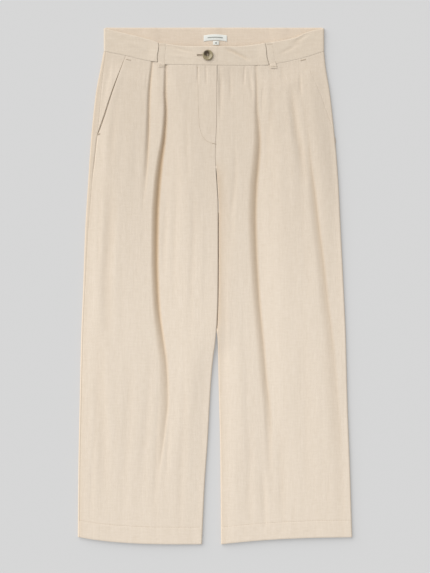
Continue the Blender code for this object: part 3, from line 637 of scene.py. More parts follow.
# %% [markdown]
# ## Materials
# Cloth scatters light softly, so its roughness is high and a little sheen lifts it where it turns away. The
# inside of the waistband and the thread are the same yarn in a slightly different shade. The label is a
# tighter, whiter weave, and the button is polished horn, with cloudy streaks and one dark patch.

# %% Cloth materials
def shader_of(material):
    return material.node_tree.nodes["Principled BSDF"]


def new_material(name, roughness, sheen=0.0, specular=0.5):
    made = bpy.data.materials.new(name)
    made.use_nodes = True
    shader = shader_of(made)
    shader.inputs["Roughness"].default_value = roughness
    shader.inputs["Sheen Weight"].default_value = sheen
    shader.inputs["Specular IOR Level"].default_value = specular
    return made


def mix_colours(tree, amount, first, second):
    mix = tree.nodes.new("ShaderNodeMix")
    mix.data_type = "RGBA"
    feed(tree, mix.inputs[0], amount)
    feed(tree, mix.inputs[6], first if hasattr(first, "is_output") else (*first, 1.0))
    feed(tree, mix.inputs[7], second if hasattr(second, "is_output") else (*second, 1.0))
    return mix.outputs[2]


def multiply_colours(tree, first, second):
    mix = tree.nodes.new("ShaderNodeMix")
    mix.data_type = "RGBA"
    mix.blend_type = "MULTIPLY"
    mix.inputs[0].default_value = 1.0
    feed(tree, mix.inputs[6], first)
    feed(tree, mix.inputs[7], second)
    return mix.outputs[2]


def bump(tree, height, strength=1.0):
    """A bump whose height is in millimetres."""
    node = tree.nodes.new("ShaderNodeBump")
    node.inputs["Strength"].default_value = strength
    node.inputs["Distance"].default_value = MM
    feed(tree, node.inputs["Height"], height)
    return node.outputs["Normal"]


# Painted shade: this colour multiplies the cloth's colour where the painted fold shade is 1, making it darker
# and warmer.
FOLD_PAINTED_SHADE_COLOUR = (0.85, 0.73, 0.58)     # multiplies the cloth's colour where the tone is 1
# Painted shade: the cloth's colour is made darker and greyer towards the waist, between SHADE_FROM and
# SHADE_TO.
WAIST_PAINTED_SHADE = (0.90, 0.89, 0.875)   # the cloth is a little greyer towards the waist than at the hems
SHADE_FROM, SHADE_TO = -0.12, 0.36  # metres up the legs between which it turns greyer


def woven(name, dark, light, crinkle=1.0, weave=1.0, waist_shade_painted=False):
    """Crinkled cloth between two shades of yarn, with painted shade between folds that makes it darker and
    warmer, and, if asked, painted shade that makes it greyer towards the waist.
    """
    made = new_material(name, 0.9, 0.12, 0.2)
    tree = made.node_tree
    pattern = tree.nodes.new("ShaderNodeUVMap")
    pattern.uv_map = "cloth"
    group = tree.nodes.new("ShaderNodeGroup")
    group.node_tree = weave_tree
    tree.links.new(pattern.outputs["UV"], group.inputs["Vector"])
    group.inputs["Crinkle"].default_value = crinkle
    group.inputs["Weave"].default_value = weave
    shader = shader_of(made)
    colour = mix_colours(tree, group.outputs["Tint"], dark, light)
    # Painted shade towards the waist.
    if waist_shade_painted:
        split = tree.nodes.new("ShaderNodeSeparateXYZ")
        tree.links.new(pattern.outputs["UV"], split.inputs[0])
        height = tree.nodes.new("ShaderNodeMapRange")
        height.interpolation_type = "SMOOTHSTEP"
        height.inputs["From Min"].default_value = SHADE_FROM
        height.inputs["From Max"].default_value = SHADE_TO
        tree.links.new(split.outputs["Y"], height.inputs["Value"])
        greyer = [tuple(np.multiply(shade, WAIST_PAINTED_SHADE)) for shade in (dark, light)]
        near_waist = mix_colours(tree, group.outputs["Tint"], *greyer)
        colour = mix_colours(tree, height.outputs[0], colour, near_waist)
    # Painted shade: the attribute turns the cloth darker and warmer in pleats, creases, beside the right
    # leg's edge below the fly and on edges facing the light.
    folds = tree.nodes.new("ShaderNodeAttribute")
    folds.attribute_name = "painted_fold_shade"
    painted_shade_colour = mix_colours(tree, folds.outputs["Fac"], (1.0, 1.0, 1.0), FOLD_PAINTED_SHADE_COLOUR)
    tree.links.new(multiply_colours(tree, colour, painted_shade_colour), shader.inputs["Base Color"])
    tree.links.new(bump(tree, group.outputs["Height"]), shader.inputs["Normal"])
    return made


ECRU_DARK = (0.700, 0.600, 0.485)
ECRU_LIGHT = (0.790, 0.690, 0.580)
# Painted shade: the waistband's colours are the cloth's own, darkened like the painted shade near the waist.
BAND_DARK = (0.626, 0.529, 0.419)
BAND_LIGHT = (0.711, 0.618, 0.507)
ecru = woven("ecru crinkled cloth", ECRU_DARK, ECRU_LIGHT, waist_shade_painted=True)
ecru_band = woven("ecru waistband cloth", BAND_DARK, BAND_LIGHT, crinkle=0.45)
ecru_inside = woven("ecru inside of waistband", (0.640, 0.530, 0.415), (0.725, 0.615, 0.500), crinkle=0.35)


def plain_thread(name, colour):
    """Spun thread: one colour, mottled finely."""
    made = new_material(name, 0.75, 0.1, 0.25)
    tree, shader = made.node_tree, shader_of(made)
    place = tree.nodes.new("ShaderNodeTexCoord")
    noise = tree.nodes.new("ShaderNodeTexNoise")
    noise.inputs["Scale"].default_value = 900.0
    tree.links.new(place.outputs["Object"], noise.inputs["Vector"])
    darker = tuple(0.86 * part for part in colour)
    tree.links.new(mix_colours(tree, noise.outputs["Fac"], darker, colour), shader.inputs["Base Color"])
    relief = calc(tree, "MULTIPLY", noise.outputs["Fac"], 0.08)
    tree.links.new(bump(tree, relief), shader.inputs["Normal"])
    return made


thread = plain_thread("ecru sewing thread", (0.600, 0.500, 0.385))
print("cloth materials:", [m.name for m in bpy.data.materials if m.name.startswith("ecru")])

# %% [markdown]
# ## The front panels
# A front panel runs from the side seam, or from the edge of the slant pocket's mouth, across the leg and
# round the fold at the inner edge. Columns of the grid follow the deepest lines of the pleats, so that each
# pleat stays crisp, and rows crowd together at the waist seam, at the hem's stitches and at the hem's edge.

# %% Rows and columns of a leg panel
MOUTH_TOP_Y, MOUTH_FOOT_Y = 402.0, 262.0           # the slant mouth's ends
MOUTH_TOP_RUN = 35.5                               # how far in from the side seam it starts at the waist
LEFT_SEAM_RUN = math.radians(88.0) * SIDE_RADIUS   # from the left side seam to the top of its fold
MOUTH_LIP = {"right": 0.6, "left": 0.15}           # how far its folded edge stands up
WAIST_REACH, HEM_REACH = 75.0, 90.0                # how far rows follow the waist seam's curve, and the hem's


def spread(first, last, count, last_too=False):
    """count evenly spaced values from first towards last, as rows by columns."""
    t = np.linspace(0.0, 1.0, count, endpoint=last_too)[None, :]
    return first[:, None] + (last - first)[:, None] * t


def row_heights(rows_between):
    """Heights of the rows at centre front, from the waist seam to the hem."""
    hem_line = HEM_Y + HEM_DEPTH
    return np.concatenate([
        np.linspace(WAIST_Y, WAIST_Y - 9.0, 8, endpoint=False),
        np.linspace(WAIST_Y - 9.0, hem_line + 5.0, rows_between, endpoint=False),
        np.linspace(hem_line + 5.0, hem_line - 5.0, 14, endpoint=False),
        np.linspace(hem_line - 5.0, HEM_Y + 4.0, 8, endpoint=False),
        np.linspace(HEM_Y + 4.0, HEM_Y, 5)])


def mouth_run(y):
    return MOUTH_TOP_RUN * np.clip((y - MOUTH_FOOT_Y) / (MOUTH_TOP_Y - MOUTH_FOOT_Y), 0.0, 1.1)


def mouth_gap(y):
    """How far the right pocket's mouth stands open: most near its foot, and hardly at the waist."""
    up = (y - MOUTH_FOOT_Y) / (MOUTH_TOP_Y - MOUTH_FOOT_Y)
    return 1.0 * smooth(up / 0.16) * (1.0 - smooth((up - 0.1) / 0.85)) + 0.25 * smooth(up / 0.1)


def bend_rows(leg, x, row_y, waist_y):
    """The y of each point, once the waist seam and the hem have bent its row."""
    waist_pull = smooth((row_y - (WAIST_Y - WAIST_REACH)) / WAIST_REACH)
    hem_pull = smooth((HEM_Y + HEM_REACH - row_y) / HEM_REACH)
    return row_y + (waist_y - WAIST_Y) * waist_pull + (hem_edge(leg, x) - HEM_Y) * hem_pull


def front_seam(x):
    return read(WAIST, "seam_y", x) - WAIST_GAP


def seam_run(leg, y):
    """How far round the side's fold the side seam lies, from the fold's top."""
    return -read(SIDES, "roll", y) if leg == "right" else np.full_like(y, LEFT_SEAM_RUN)


def front_columns(leg, y):
    """How much cloth lies between the side fold's top and each column, with one row for each height."""
    fold_x = side_fold_x(leg, y)
    width = np.abs(inner_fold_x(leg, y) - fold_x)
    main = (fold_x - pleat_x(leg, "main", y)) * SIDE[leg]
    outer = (fold_x - pleat_x(leg, "outer" if leg == "right" else "long", y)) * SIDE[leg]
    start = mouth_run(y) - seam_run(leg, y)
    if leg == "right":
        start = start + (SEAM_GAP / 2 + mouth_gap(y))
        near, far, lap = 14.0, 9.0, width - 2.0
    else:
        right_edge = (fold_x - (read(INNERS, "right", y) + 0.1)) * SIDE[leg]
        near, far, lap = 10.0, 14.0, np.minimum(right_edge, width - 0.5)
    first = np.minimum(start + 5.0, outer - 4.0)
    end = width + math.pi * inner_radius(leg, y)
    return np.concatenate([
        spread(start, first, 5), spread(first, outer, 30), spread(outer, main - near, 14),
        spread(main - near, main, 10), spread(main, main + far, 7), spread(main + far, lap - 4.5, 42),
        spread(lap - 4.5, lap - 0.6, 6), spread(lap - 0.6, lap, 4), spread(lap, width, 4),
        spread(width, end, 10, True)], axis=1)


def front_place(leg, past, y):
    """x, z and the flat pattern's u of points this far past the top of the side's fold.

    Along the fly the inner fold is pressed square; below, it is a soft half circle.
    """
    fold_x, inner_x = side_fold_x(leg, y), inner_fold_x(leg, y)
    width, radius = np.abs(inner_x - fold_x), inner_radius(leg, y)
    side_angle = np.clip(-past, 0.0, None) / SIDE_RADIUS
    inner_angle = np.clip(past - width, 0.0, None) / radius
    top_x = fold_x - SIDE[leg] * np.clip(past, 0.0, width)
    square = 1.0 - 0.6 * at_fly(y)
    out = np.clip(np.sin(inner_angle), 0.0, None) ** square
    down = 1.0 - np.sign(np.cos(inner_angle)) * np.abs(np.cos(inner_angle)) ** square
    x = top_x + SIDE[leg] * (SIDE_RADIUS * np.sin(side_angle) - radius * out)
    z = np.maximum(front_height(leg, top_x, y) - SIDE_RADIUS * (1 - np.cos(side_angle)) - radius * down, 0.0)
    u = fold_x - SIDE[leg] * past
    return x, z, u


def settled(leg, place, row_y, columns, seam):
    """x, y, z and u of a panel's points, once its rows have bent with its waist seam and its hem."""
    y = np.repeat(row_y[:, None], columns, 1)
    for _turn in range(3):
        x = place(leg, y)[0]
        y = bend_rows(leg, x, row_y[:, None], seam(x))
    x, z, u = place(leg, y)
    return x, y, z, u


rows_made = row_heights(270)
print("rows in a front panel:", len(rows_made), "and columns:", front_columns("right", rows_made).shape[1])


# %% Front panels
def side_groove(y):
    """The side seam sinks most just below the pocket, and lies almost flush farther down."""
    return 0.22 + 0.9 * smooth((268.0 - y) / 12.0) * smooth((y - 170.0) / 50.0)


def front_past(leg, y):
    """Each point's own column, at its own height."""
    return np.stack([front_columns(leg, y[:, c])[:, c] for c in range(y.shape[1])], 1)


def panel_place(leg, y):
    return front_place(leg, front_past(leg, y), y)


def front_panel(leg):
    row_y = row_heights(270)
    columns = front_columns(leg, row_y).shape[1]
    x, y, z, u = settled(leg, panel_place, row_y, columns, front_seam)
    past = front_past(leg, y)
    from_edge = past - past[:, :1]
    open_part = np.clip(mouth_run(y) / 20.0, 0.0, 1.0)
    arch = np.sin(math.pi * np.clip(mouth_run(y) / 37.0, 0, 1))
    z = z + MOUTH_LIP[leg] * open_part * arch * (1.0 - smooth(from_edge / 14.0))
    z = z - side_groove(y) * (1.0 - smooth(from_edge / 1.6))
    # The panel carries the painted shade of its folds.
    piece = sheet("front_%s_panel" % leg, x, y, z, u, y, WALL, ecru, painted_shade=painted_fold_shade(leg, x, y))
    return piece, u, y


front_pieces = {leg: front_panel(leg) for leg in ("right", "left")}
for leg, (piece, u, v) in front_pieces.items():
    declare(piece, ["front_" + leg])

# %% [markdown]
# ## The back panels
# They lie on the table, so their outer face is flat where it rests, with a few shallow hollows where the
# cloth stands off it. On the right leg the back panel wraps over the side, and a strip of it shows. Each
# panel is made of parts side by side: that strip, the half circle of the fold, and the part on the table.

# %% Back panels
STRIP_COLUMNS, FOLD_COLUMNS, BASE_COLUMNS = 6, 9, 58


def back_lift(leg, x, y):
    """Underside of the back panel: on the table, but for the right leg's inner edge on the left leg."""
    if leg == "left":
        return np.zeros_like(x)
    edge = read(INNERS, "left", y) - 4.0
    risen = np.clip((CROTCH_Y - y) / 15.0, 0.0, 1.0)
    return risen * read(INNERS, "right_base", y) * smooth((x - edge + 30.0) / 30.0)


def back_strip(leg, fold_x, y):
    """The strip of the right back panel that wraps over the side, up to the side seam."""
    roll = read(SIDES, "roll", y[:, 0]) - SEAM_GAP / 2
    x, y = spread(fold_x + roll, fold_x, STRIP_COLUMNS), y[:, :STRIP_COLUMNS]
    rim = side_groove(y) * (1.0 - smooth((x[:, :1] - x) / 1.6))
    return x, front_height(leg, x, y) - rim, x


def back_fold(leg, fold_x):
    """The half circle along the side, which the left panel joins at its side seam."""
    first = 0.0 if leg == "right" else math.radians(92.0)
    angle = spread(np.full_like(fold_x, first), np.full_like(fold_x, math.pi), FOLD_COLUMNS)
    x = fold_x[:, None] + SIDE[leg] * SIDE_RADIUS * np.sin(angle)
    return x, SIDE_RADIUS * (1 + np.cos(angle)), fold_x[:, None] + SIDE[leg] * SIDE_RADIUS * angle


def back_base(leg, fold_x, y):
    """The part on the table, as far as the seat seam, or below the crotch as far as the inner fold."""
    seat = read(INNERS, "right", y[:, 0]) + SIDE[leg] * SEAM_GAP / 2
    leg_end = inner_fold_x(leg, y[:, 0]) + SIDE[leg] * SEAM_GAP
    below = smooth((CROTCH_Y - y[:, 0]) / 7.0)
    x, y = spread(fold_x, seat + (leg_end - seat) * below, BASE_COLUMNS, True), y[:, -BASE_COLUMNS:]
    from_ends = np.minimum(np.abs(x - fold_x[:, None]), np.abs(x - x[:, -1:]))
    hollow = -crease_drop(BACK_CREASES, leg, x, y)
    hollow = hollow + 0.35 * np.clip(uneven(x, y, 30.0, 120.0, 41), 0.0, 1.0)
    z = back_lift(leg, x, y) + hollow * smooth(from_ends / 12.0)
    return x, z, x + SIDE[leg] * SIDE_RADIUS * math.pi


def back_place(leg, y):
    fold_x = side_fold_x(leg, y[:, 0])
    parts = [back_fold(leg, fold_x), back_base(leg, fold_x, y)]
    if leg == "right":
        parts.insert(0, back_strip(leg, fold_x, y))
    return [np.concatenate(group, axis=1) for group in zip(*parts)]


def back_panel(leg):
    columns = FOLD_COLUMNS + BASE_COLUMNS + (STRIP_COLUMNS if leg == "right" else 0)
    x, y, z, u = settled(leg, back_place, row_heights(150), columns, lambda x: BACK_WAIST_Y)
    # Painted shade on the back panel's folded edge that faces the light.
    piece = sheet("back_%s_panel" % leg, x, y, z, u, y, WALL, ecru, up=False, painted_shade=painted_edge_shade(leg, x, y))
    return piece, u, y


for leg in ("right", "left"):
    piece, u, v = back_panel(leg)
    declare(piece, ["back_" + leg])

# %% [markdown]
# ## Hip pieces under the slant pockets
# The pocket's facing fills the corner between the side seam and the mouth. It is flush at the seam, and
# near the mouth it turns down under the front panel's folded edge, which leaves the narrow dark opening.

# %% Hip pieces
MOUTH_DIP = {"right": 2.2, "left": 1.2}      # how near the mouth the facing turns down
MOUTH_DEPTH = {"right": 2.4, "left": 0.35}   # and how far
HIP_UNDERLAP = 14.0                          # how far it runs on under the front panel
HIP_COLUMNS = (20, 12, 8)


def hip_place(leg, y):
    mouth = mouth_run(y[:, 0])
    near = np.maximum(mouth - 5.0, 0.3 * mouth)
    ends = (np.full_like(mouth, SEAM_GAP / 2), near, mouth, mouth + HIP_UNDERLAP)
    runs = np.concatenate([spread(ends[k], ends[k + 1], HIP_COLUMNS[k], k == 2) for k in range(3)], axis=1)
    x, z, u = front_place(leg, runs - seam_run(leg, y), y)
    past_mouth = runs - mouth[:, None]
    dip = smooth((past_mouth + MOUTH_DIP[leg]) / MOUTH_DIP[leg])
    dip = dip + 4.0 * smooth((past_mouth + 0.1) / 1.0) * (leg == "left")
    return x, z - MOUTH_DEPTH[leg] * dip - 0.3 * (1.0 - smooth(runs / 1.5)), u


def hip_piece(leg):
    row_y = np.linspace(WAIST_Y, MOUTH_FOOT_Y - 12.0, 70)
    x, y, z, u = settled(leg, hip_place, row_y, sum(HIP_COLUMNS), front_seam)
    # A lighter painted shade on the hip piece's edge that faces the light.
    painted_shade = 0.6 * painted_edge_shade(leg, x, y)
    return sheet("hip_%s_piece" % leg, x, y, z, u, y, HIP_WALL, ecru, painted_shade=painted_shade), u, y


for leg in ("right", "left"):
    piece, u, v = hip_piece(leg)
    declare(piece, ["hip_" + leg])

# %% [markdown]
# ## The waistband
# The front waistband is two straight bands folded over their stiffening. The right one laps over the left
# and buttons there. Each wraps round the side fold and meets the back waistband, which lies on the table
# with its inside up. A few shallow diagonal drags show where the band has been pulled.

# %% Front waistband
BAND_SIDE_Y = 411.0                   # height at which the folds at the band's ends are read
BAND_FOLD_RADIUS = 2.8
BAND_PARTS = np.concatenate([         # rows of a band, from 0 at its seam to 1 at its upper edge
    np.linspace(0.0, 0.08, 6, endpoint=False),
    np.linspace(0.08, 0.92, 22, endpoint=False),
    np.linspace(0.92, 1.0, 7)])
LAP_END_X, LAP_START_X = 4.0, -26.0   # where the right half ends, and where the left one starts under it
LOOP_HALF = 5.8                       # half the width of a belt loop
LOOP_REACH = 7.0                      # how far a front loop runs on below the waist seam
LOOP_SWELL, LOOP_SINK = 1.2, 0.55     # how far the band swells up to a loop's edge, and sinks under it
LOOP_CREASE = 1.1                     # how deep the crease between them is
FRONT_LOOPS = {"right": (-92.4, -94.2), "left": (93.3, 101.8)}   # x of each front loop's upper and lower end
# Painted shade in the creases of the drags:
DRAG_PAINTED_SHADE = 0.13                      # for each millimetre of a drag's depth
Drag = namedtuple("Drag", "x1 y1 x2 y2 depth width")
DRAGS = [
    Drag(17.0, 416.5, 62.0, 394.0, 1.6, 4.5),
    Drag(24.0, 409.0, 50.0, 396.0, -0.5, 4.0),
    Drag(-86.0, 421.0, -33.0, 406.5, 0.6, 4.0),
    Drag(-80.0, 404.0, -40.0, 398.0, -0.4, 5.0),
    Drag(131.0, 420.0, 168.0, 445.0, 0.6, 5.5),
    Drag(112.0, 405.0, 150.0, 425.0, 0.5, 5.0),
    Drag(-160.0, 428.0, -118.0, 414.0, -0.4, 6.0),
]


def drag_drop(x, y):
    """How far the drags take the band down; a drag with a negative depth stands up."""
    drop = 0.0
    for drag in DRAGS:
        run_x, run_y = drag.x2 - drag.x1, drag.y2 - drag.y1
        length = math.hypot(run_x, run_y)
        t = ((x - drag.x1) * run_x + (y - drag.y1) * run_y) / length ** 2
        off = np.abs((x - drag.x1) * run_y - (y - drag.y1) * run_x) / length
        fade = np.sin(math.pi * np.clip(t, 0.0, 1.0)) ** 0.7
        drop = drop + drag.depth * fade * smooth(1.0 - off / drag.width)
    return drop


def band_height(x, y, under=False):
    """The height of the band's face; the left half lies under the right one as far as the lap's end."""
    height = read(WAIST, "height", x) - drag_drop(x, y) + 0.12 * uneven(x, y, 22.0, 15.0, 5)
    if under:
        height = height - (BAND_WALL + SEAM_GAP) * (1.0 - smooth((x - LAP_END_X) / 0.12)) - 0.05
    return height


def loop_line(leg, y):
    """The x of a front loop's middle at these heights, and how far down the loop they are."""
    (upper_x, lower_x), (upper_y, lower_y) = FRONT_LOOPS[leg], loop_ends(leg)
    along = np.clip((upper_y - y) / (upper_y - lower_y), 0.0, 1.0)
    return upper_x + (lower_x - upper_x) * along + 0.8 * np.sin(2.6 * math.pi * along), along


def loop_ends(leg):
    upper_x, lower_x = FRONT_LOOPS[leg]
    return float(read(WAIST, "top_y", upper_x)) - 0.1, float(read(WAIST, "seam_y", lower_x)) - LOOP_REACH


def loop_swell(leg, x, y):
    """The band swells towards one edge of a belt loop, and drops there in a sharp crease."""
    middle, along = loop_line(leg, y)
    past = x - middle + LOOP_HALF
    fade = np.sin(math.pi * np.clip(along, 0.08, 0.92)) ** 0.5
    swell = LOOP_SWELL * smooth(1.0 + past / 20.0) * (past < -0.5) * fade
    under_loop = smooth((past + 0.3) / 0.6) * smooth((2 * LOOP_HALF - past) / 0.3)
    return swell - LOOP_SINK * under_loop - LOOP_CREASE * np.exp(-(past / 1.0) ** 2)


def band_rim(part, width):
    """The rounded edges of a folded band: part runs from 0 to 1 over its width."""
    at_seam, at_top = 1.0 - smooth(part * width / 1.4), 1.0 - smooth((1.0 - part) * width / 1.5)
    return 0.15 * at_seam + 0.55 * at_top


def band_columns(leg, centre):
    """The x of each column on the band's face, with more of them at the belt loop and at the lap's end."""
    upper_x, lower_x = FRONT_LOOPS[leg]
    loop_edge = upper_x + (lower_x - upper_x) * 0.5 - LOOP_HALF
    columns = np.sort(np.concatenate([
        np.linspace(centre, LAP_END_X if leg == "right" else LAP_START_X, 94),
        loop_edge + np.linspace(-5.0, 4.0, 18),
        loop_edge + 2 * LOOP_HALF + np.linspace(-1.0, 0.6, 6),
        LAP_END_X + (np.linspace(0.01, 0.16, 6) if leg == "left" else np.linspace(-1.5, -0.1, 6))]))
    return columns[::-int(SIDE[leg])]


def front_band(leg):
    end_x, radius = float(read(SIDES, leg, BAND_SIDE_Y)), BAND_FOLD_RADIUS
    centre = end_x - SIDE[leg] * radius
    angle = np.linspace(math.pi, 0.0, 10, endpoint=False)
    arc = len(angle)
    top_x = band_columns(leg, centre)
    columns = np.concatenate([centre + SIDE[leg] * radius * np.sin(angle), top_x])
    x = np.repeat(columns[None, :], len(BAND_PARTS), 0)
    part = np.repeat(BAND_PARTS[:, None], len(columns), 1)
    low, high = read(WAIST, "seam_y", x) + SEAM_GAP, read(WAIST, "top_y", x) + 0.2
    y = low + (high - low) * part
    z = band_height(x, y, under=leg == "left") + loop_swell(leg, x, y)
    side = smooth(np.abs(x - end_x) / 14.0)
    z = 2 * radius + (z - 2 * radius) * side
    z[:, :arc] = radius * (1 + np.cos(angle))
    rim = band_rim(part, high - low)
    rim[:, :arc] *= np.cos(angle)
    z = z - rim
    if leg == "right":
        z = z - 0.1 * (1.0 - smooth((LAP_END_X - x) / 1.2))
    u = np.concatenate([centre + SIDE[leg] * radius * angle, top_x])
    u = np.repeat(u[None, :], len(BAND_PARTS), 0)
    # Painted shade along the drags.
    painted_shade = np.clip(DRAG_PAINTED_SHADE * drag_drop(x, y), 0.0, 1.0)
    return sheet("waistband_%s_front" % leg, x, y, z, y, u, BAND_WALL, ecru_band, painted_shade=painted_shade), y, u


band_pieces = {leg: front_band(leg) for leg in ("right", "left")}
for leg, (piece, u, v) in band_pieces.items():
    declare(piece, ["waistband_" + leg])

# %% Back waistband
BACK_BAND_TOP = BAND_WALL + 0.5     # the edges touch the table, and its middle stands a little higher
BACK_LOOP_RISE = 0.7                # how far it rises again over a back belt loop
BACK_BAND_INSET = 3.1               # from the outline to its cut ends
BACK_LOOPS = {name: float(np.mean([corner[0] for corner in in_mm("belt_loop_back_" + name)]))
              for name in ("right", "centre", "left")}


def over_back_loop(x):
    """1 over a back belt loop, and 0 away from them."""
    near = np.min([np.abs(x - loop_x) for loop_x in BACK_LOOPS.values()], axis=0)
    return 1.0 - smooth((near - LOOP_HALF + 1.0) / 14.0)


def back_band():
    ends = [float(read(SIDES, leg, BAND_SIDE_Y)) - SIDE[leg] * BACK_BAND_INSET for leg in ("right", "left")]
    x = np.repeat(np.linspace(ends[0], ends[1], 190)[None, :], len(BAND_PARTS), 0)
    part = np.repeat(BAND_PARTS[:, None], 190, 1)
    top = TOP_Y + 1.0 + 0.25 * uneven(x, x * 0, 40.0, 1.0, 9)
    y = BACK_WAIST_Y + SEAM_GAP / 2 + (top - BACK_WAIST_Y) * part
    z = BACK_BAND_TOP + BACK_LOOP_RISE * over_back_loop(x) + 0.25 * np.clip(uneven(x, y, 34.0, 20.0, 3), 0, 1)
    z = z - 0.6 * (1.0 - smooth(np.minimum(part, 1.0 - part) * 40.0 / 1.6))
    return sheet("waistband_back_inside", x, y, z, y, x, BAND_WALL - 0.1, ecru_inside), y, x


piece, u, v = back_band()
declare(piece, ["waistband_back"])

# %% [markdown]
# ## Belt loops
# A belt loop is a narrow turned strip, sewn down at both ends. The two in front stand over the waistband
# and reach just past its seam, and the band creases sharply along one of their edges. The three behind lie
# under the back waistband, on the table, and their ends peep over its top edge.

# %% Belt loops
FRONT_LOOP_WALL, BACK_LOOP_WALL = 0.5, 0.7


def face_height(leg, x, y):
    """The waistband's face, or the panel's face below it, whichever is there."""
    seam = read(WAIST, "seam_y", x)
    return np.where(y > seam, band_height(x, y), front_height(leg, x, np.minimum(y, seam - 0.1)) + 0.5)


def front_loop(leg):
    """Makes a front loop, and gives the line down its middle."""
    across = np.linspace(-1.0, 1.0, 13)[None, :]
    y = np.linspace(*loop_ends(leg), 44)[:, None] + 0.0 * across
    middle, along = loop_line(leg, y)
    x = middle + LOOP_HALF * across
    under = face_height(leg, x, y)
    on_panel = smooth((read(WAIST, "seam_y", x) + 1.5 - y) / 2.0)
    side = (0.18 - 0.05 * across) * (1.0 - smooth((1.0 - np.abs(across)) * LOOP_HALF / 1.3))
    z = under + 0.14 + 0.4 * on_panel + 0.15 * np.sin(math.pi * along) - side
    piece = sheet("belt_loop_%s_front" % leg, x, y, z, x, y, FRONT_LOOP_WALL, ecru_band)
    declare(piece, ["belt_loop_front_" + leg])
    return x[:, 6], y[:, 6], z[:, 6]


def back_loop(which):
    across = np.linspace(-1.0, 1.0, 9)[None, :]
    y = np.linspace(TOP_Y + 0.8, BACK_WAIST_Y + 1.0, 22)[:, None] + 0.0 * across
    x = BACK_LOOPS[which] + LOOP_HALF * across + 0.0 * y
    z = 0.05 + 0.15 * (np.abs(across) > 0.8) + 0.0 * y
    piece = sheet("belt_loop_%s_back" % which, x, y, z, x, y, BACK_LOOP_WALL, ecru_band, up=False)
    declare(piece, ["belt_loop_back_" + which])


loop_lines = {leg: front_loop(leg) for leg in ("right", "left")}
for which in BACK_LOOPS:
    back_loop(which)

# %% [markdown]
# ## Woven label and size tab
# A small ivory label is sewn inside the back waistband, and a size tab hangs from its lower edge. They
# carry no words: the label has one plain woven stripe, and the tab one small woven block.

# %% Label and tab
TAG_WALL = 0.4


def woven_mark(name, half_width, half_height):
    """Ivory satin weave with a plain grey block, this large, in the middle of the piece."""
    made = new_material(name, 0.7, 0.15, 0.3)
    tree = made.node_tree
    pattern = tree.nodes.new("ShaderNodeUVMap")
    pattern.uv_map = "cloth"
    split = tree.nodes.new("ShaderNodeSeparateXYZ")
    tree.links.new(pattern.outputs["UV"], split.inputs[0])
    wide = calc(tree, "LESS_THAN", calc(tree, "ABSOLUTE", split.outputs["X"]), half_width * MM)
    high = calc(tree, "LESS_THAN", calc(tree, "ABSOLUTE", split.outputs["Y"]), half_height * MM)
    mark = calc(tree, "MULTIPLY", calc(tree, "MULTIPLY", wide, high), 0.85)
    ribs = calc(tree, "SINE", calc(tree, "MULTIPLY", split.outputs["Y"], 2 * math.pi / 0.0007))
    cords = calc(tree, "SINE", calc(tree, "MULTIPLY", split.outputs["X"], 2 * math.pi / 0.0005))
    rib_light = calc(tree, "MULTIPLY_ADD", ribs, 0.3, 0.5)
    cloth = mix_colours(tree, rib_light, (0.70, 0.71, 0.66), (0.79, 0.79, 0.745))
    shader = shader_of(made)
    tree.links.new(mix_colours(tree, mark, cloth, (0.20, 0.21, 0.19)), shader.inputs["Base Color"])
    relief = calc(tree, "MULTIPLY", calc(tree, "ADD", ribs, cords), 0.03)
    tree.links.new(bump(tree, relief), shader.inputs["Normal"])
    return made


def woven_tag(name, node, material, arch):
    """A small woven piece on the inside of the back waistband, in the place of its CAD node."""
    low, high = in_mm(node)
    size, centre = high - low, (high + low) / 2
    across = np.linspace(-0.5, 0.5, 40)[None, :]
    along = np.linspace(-0.5, 0.5, 13)[:, None]
    x = centre[0] + size[0] * across + 0.0 * along
    y = centre[1] - 1.0 + size[1] * along + arch * (1.0 - (2 * across) ** 2) - arch * 0.6
    under = BACK_BAND_TOP + BACK_LOOP_RISE * over_back_loop(x) + 0.25
    edge = np.minimum((0.5 - np.abs(across)) * size[0], (0.5 - np.abs(along)) * size[1])
    lift = 0.35 * np.sin(math.pi * (along + 0.5)) + 0.2 * np.sin(9.0 * across + 1.0)
    z = under + 0.75 + 0.5 * lift - 0.35 * (1.0 - smooth(edge / 0.8))
    u, v = size[0] * across + 0.0 * along, size[1] * along + 0.0 * across
    return sheet(name, x, y, z, u, v, TAG_WALL, material), u, v


label_weave = woven_mark("ivory label weave", 13.5, 0.9)
tab_weave = woven_mark("ivory tab weave", 1.5, 1.3)
label_piece, label_u, label_v = woven_tag("woven_label", "label", label_weave, 2.0)
tab_piece, _u, _v = woven_tag("woven_size_tab", "size_tab", tab_weave, 0.2)
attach(tab_piece, "root")
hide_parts("size_tab")
declare(label_piece, ["label"])

# %% [markdown]
# ## Stitches
# Each row of stitches is one joined mesh of small rounded threads, set along a line on the cloth's own face.
# A bar tack is the same row with its stitches turned across the line and packed close. Every row has dozens
# of threads, so each thread is a sphere of few faces, drawn out along its stitch.

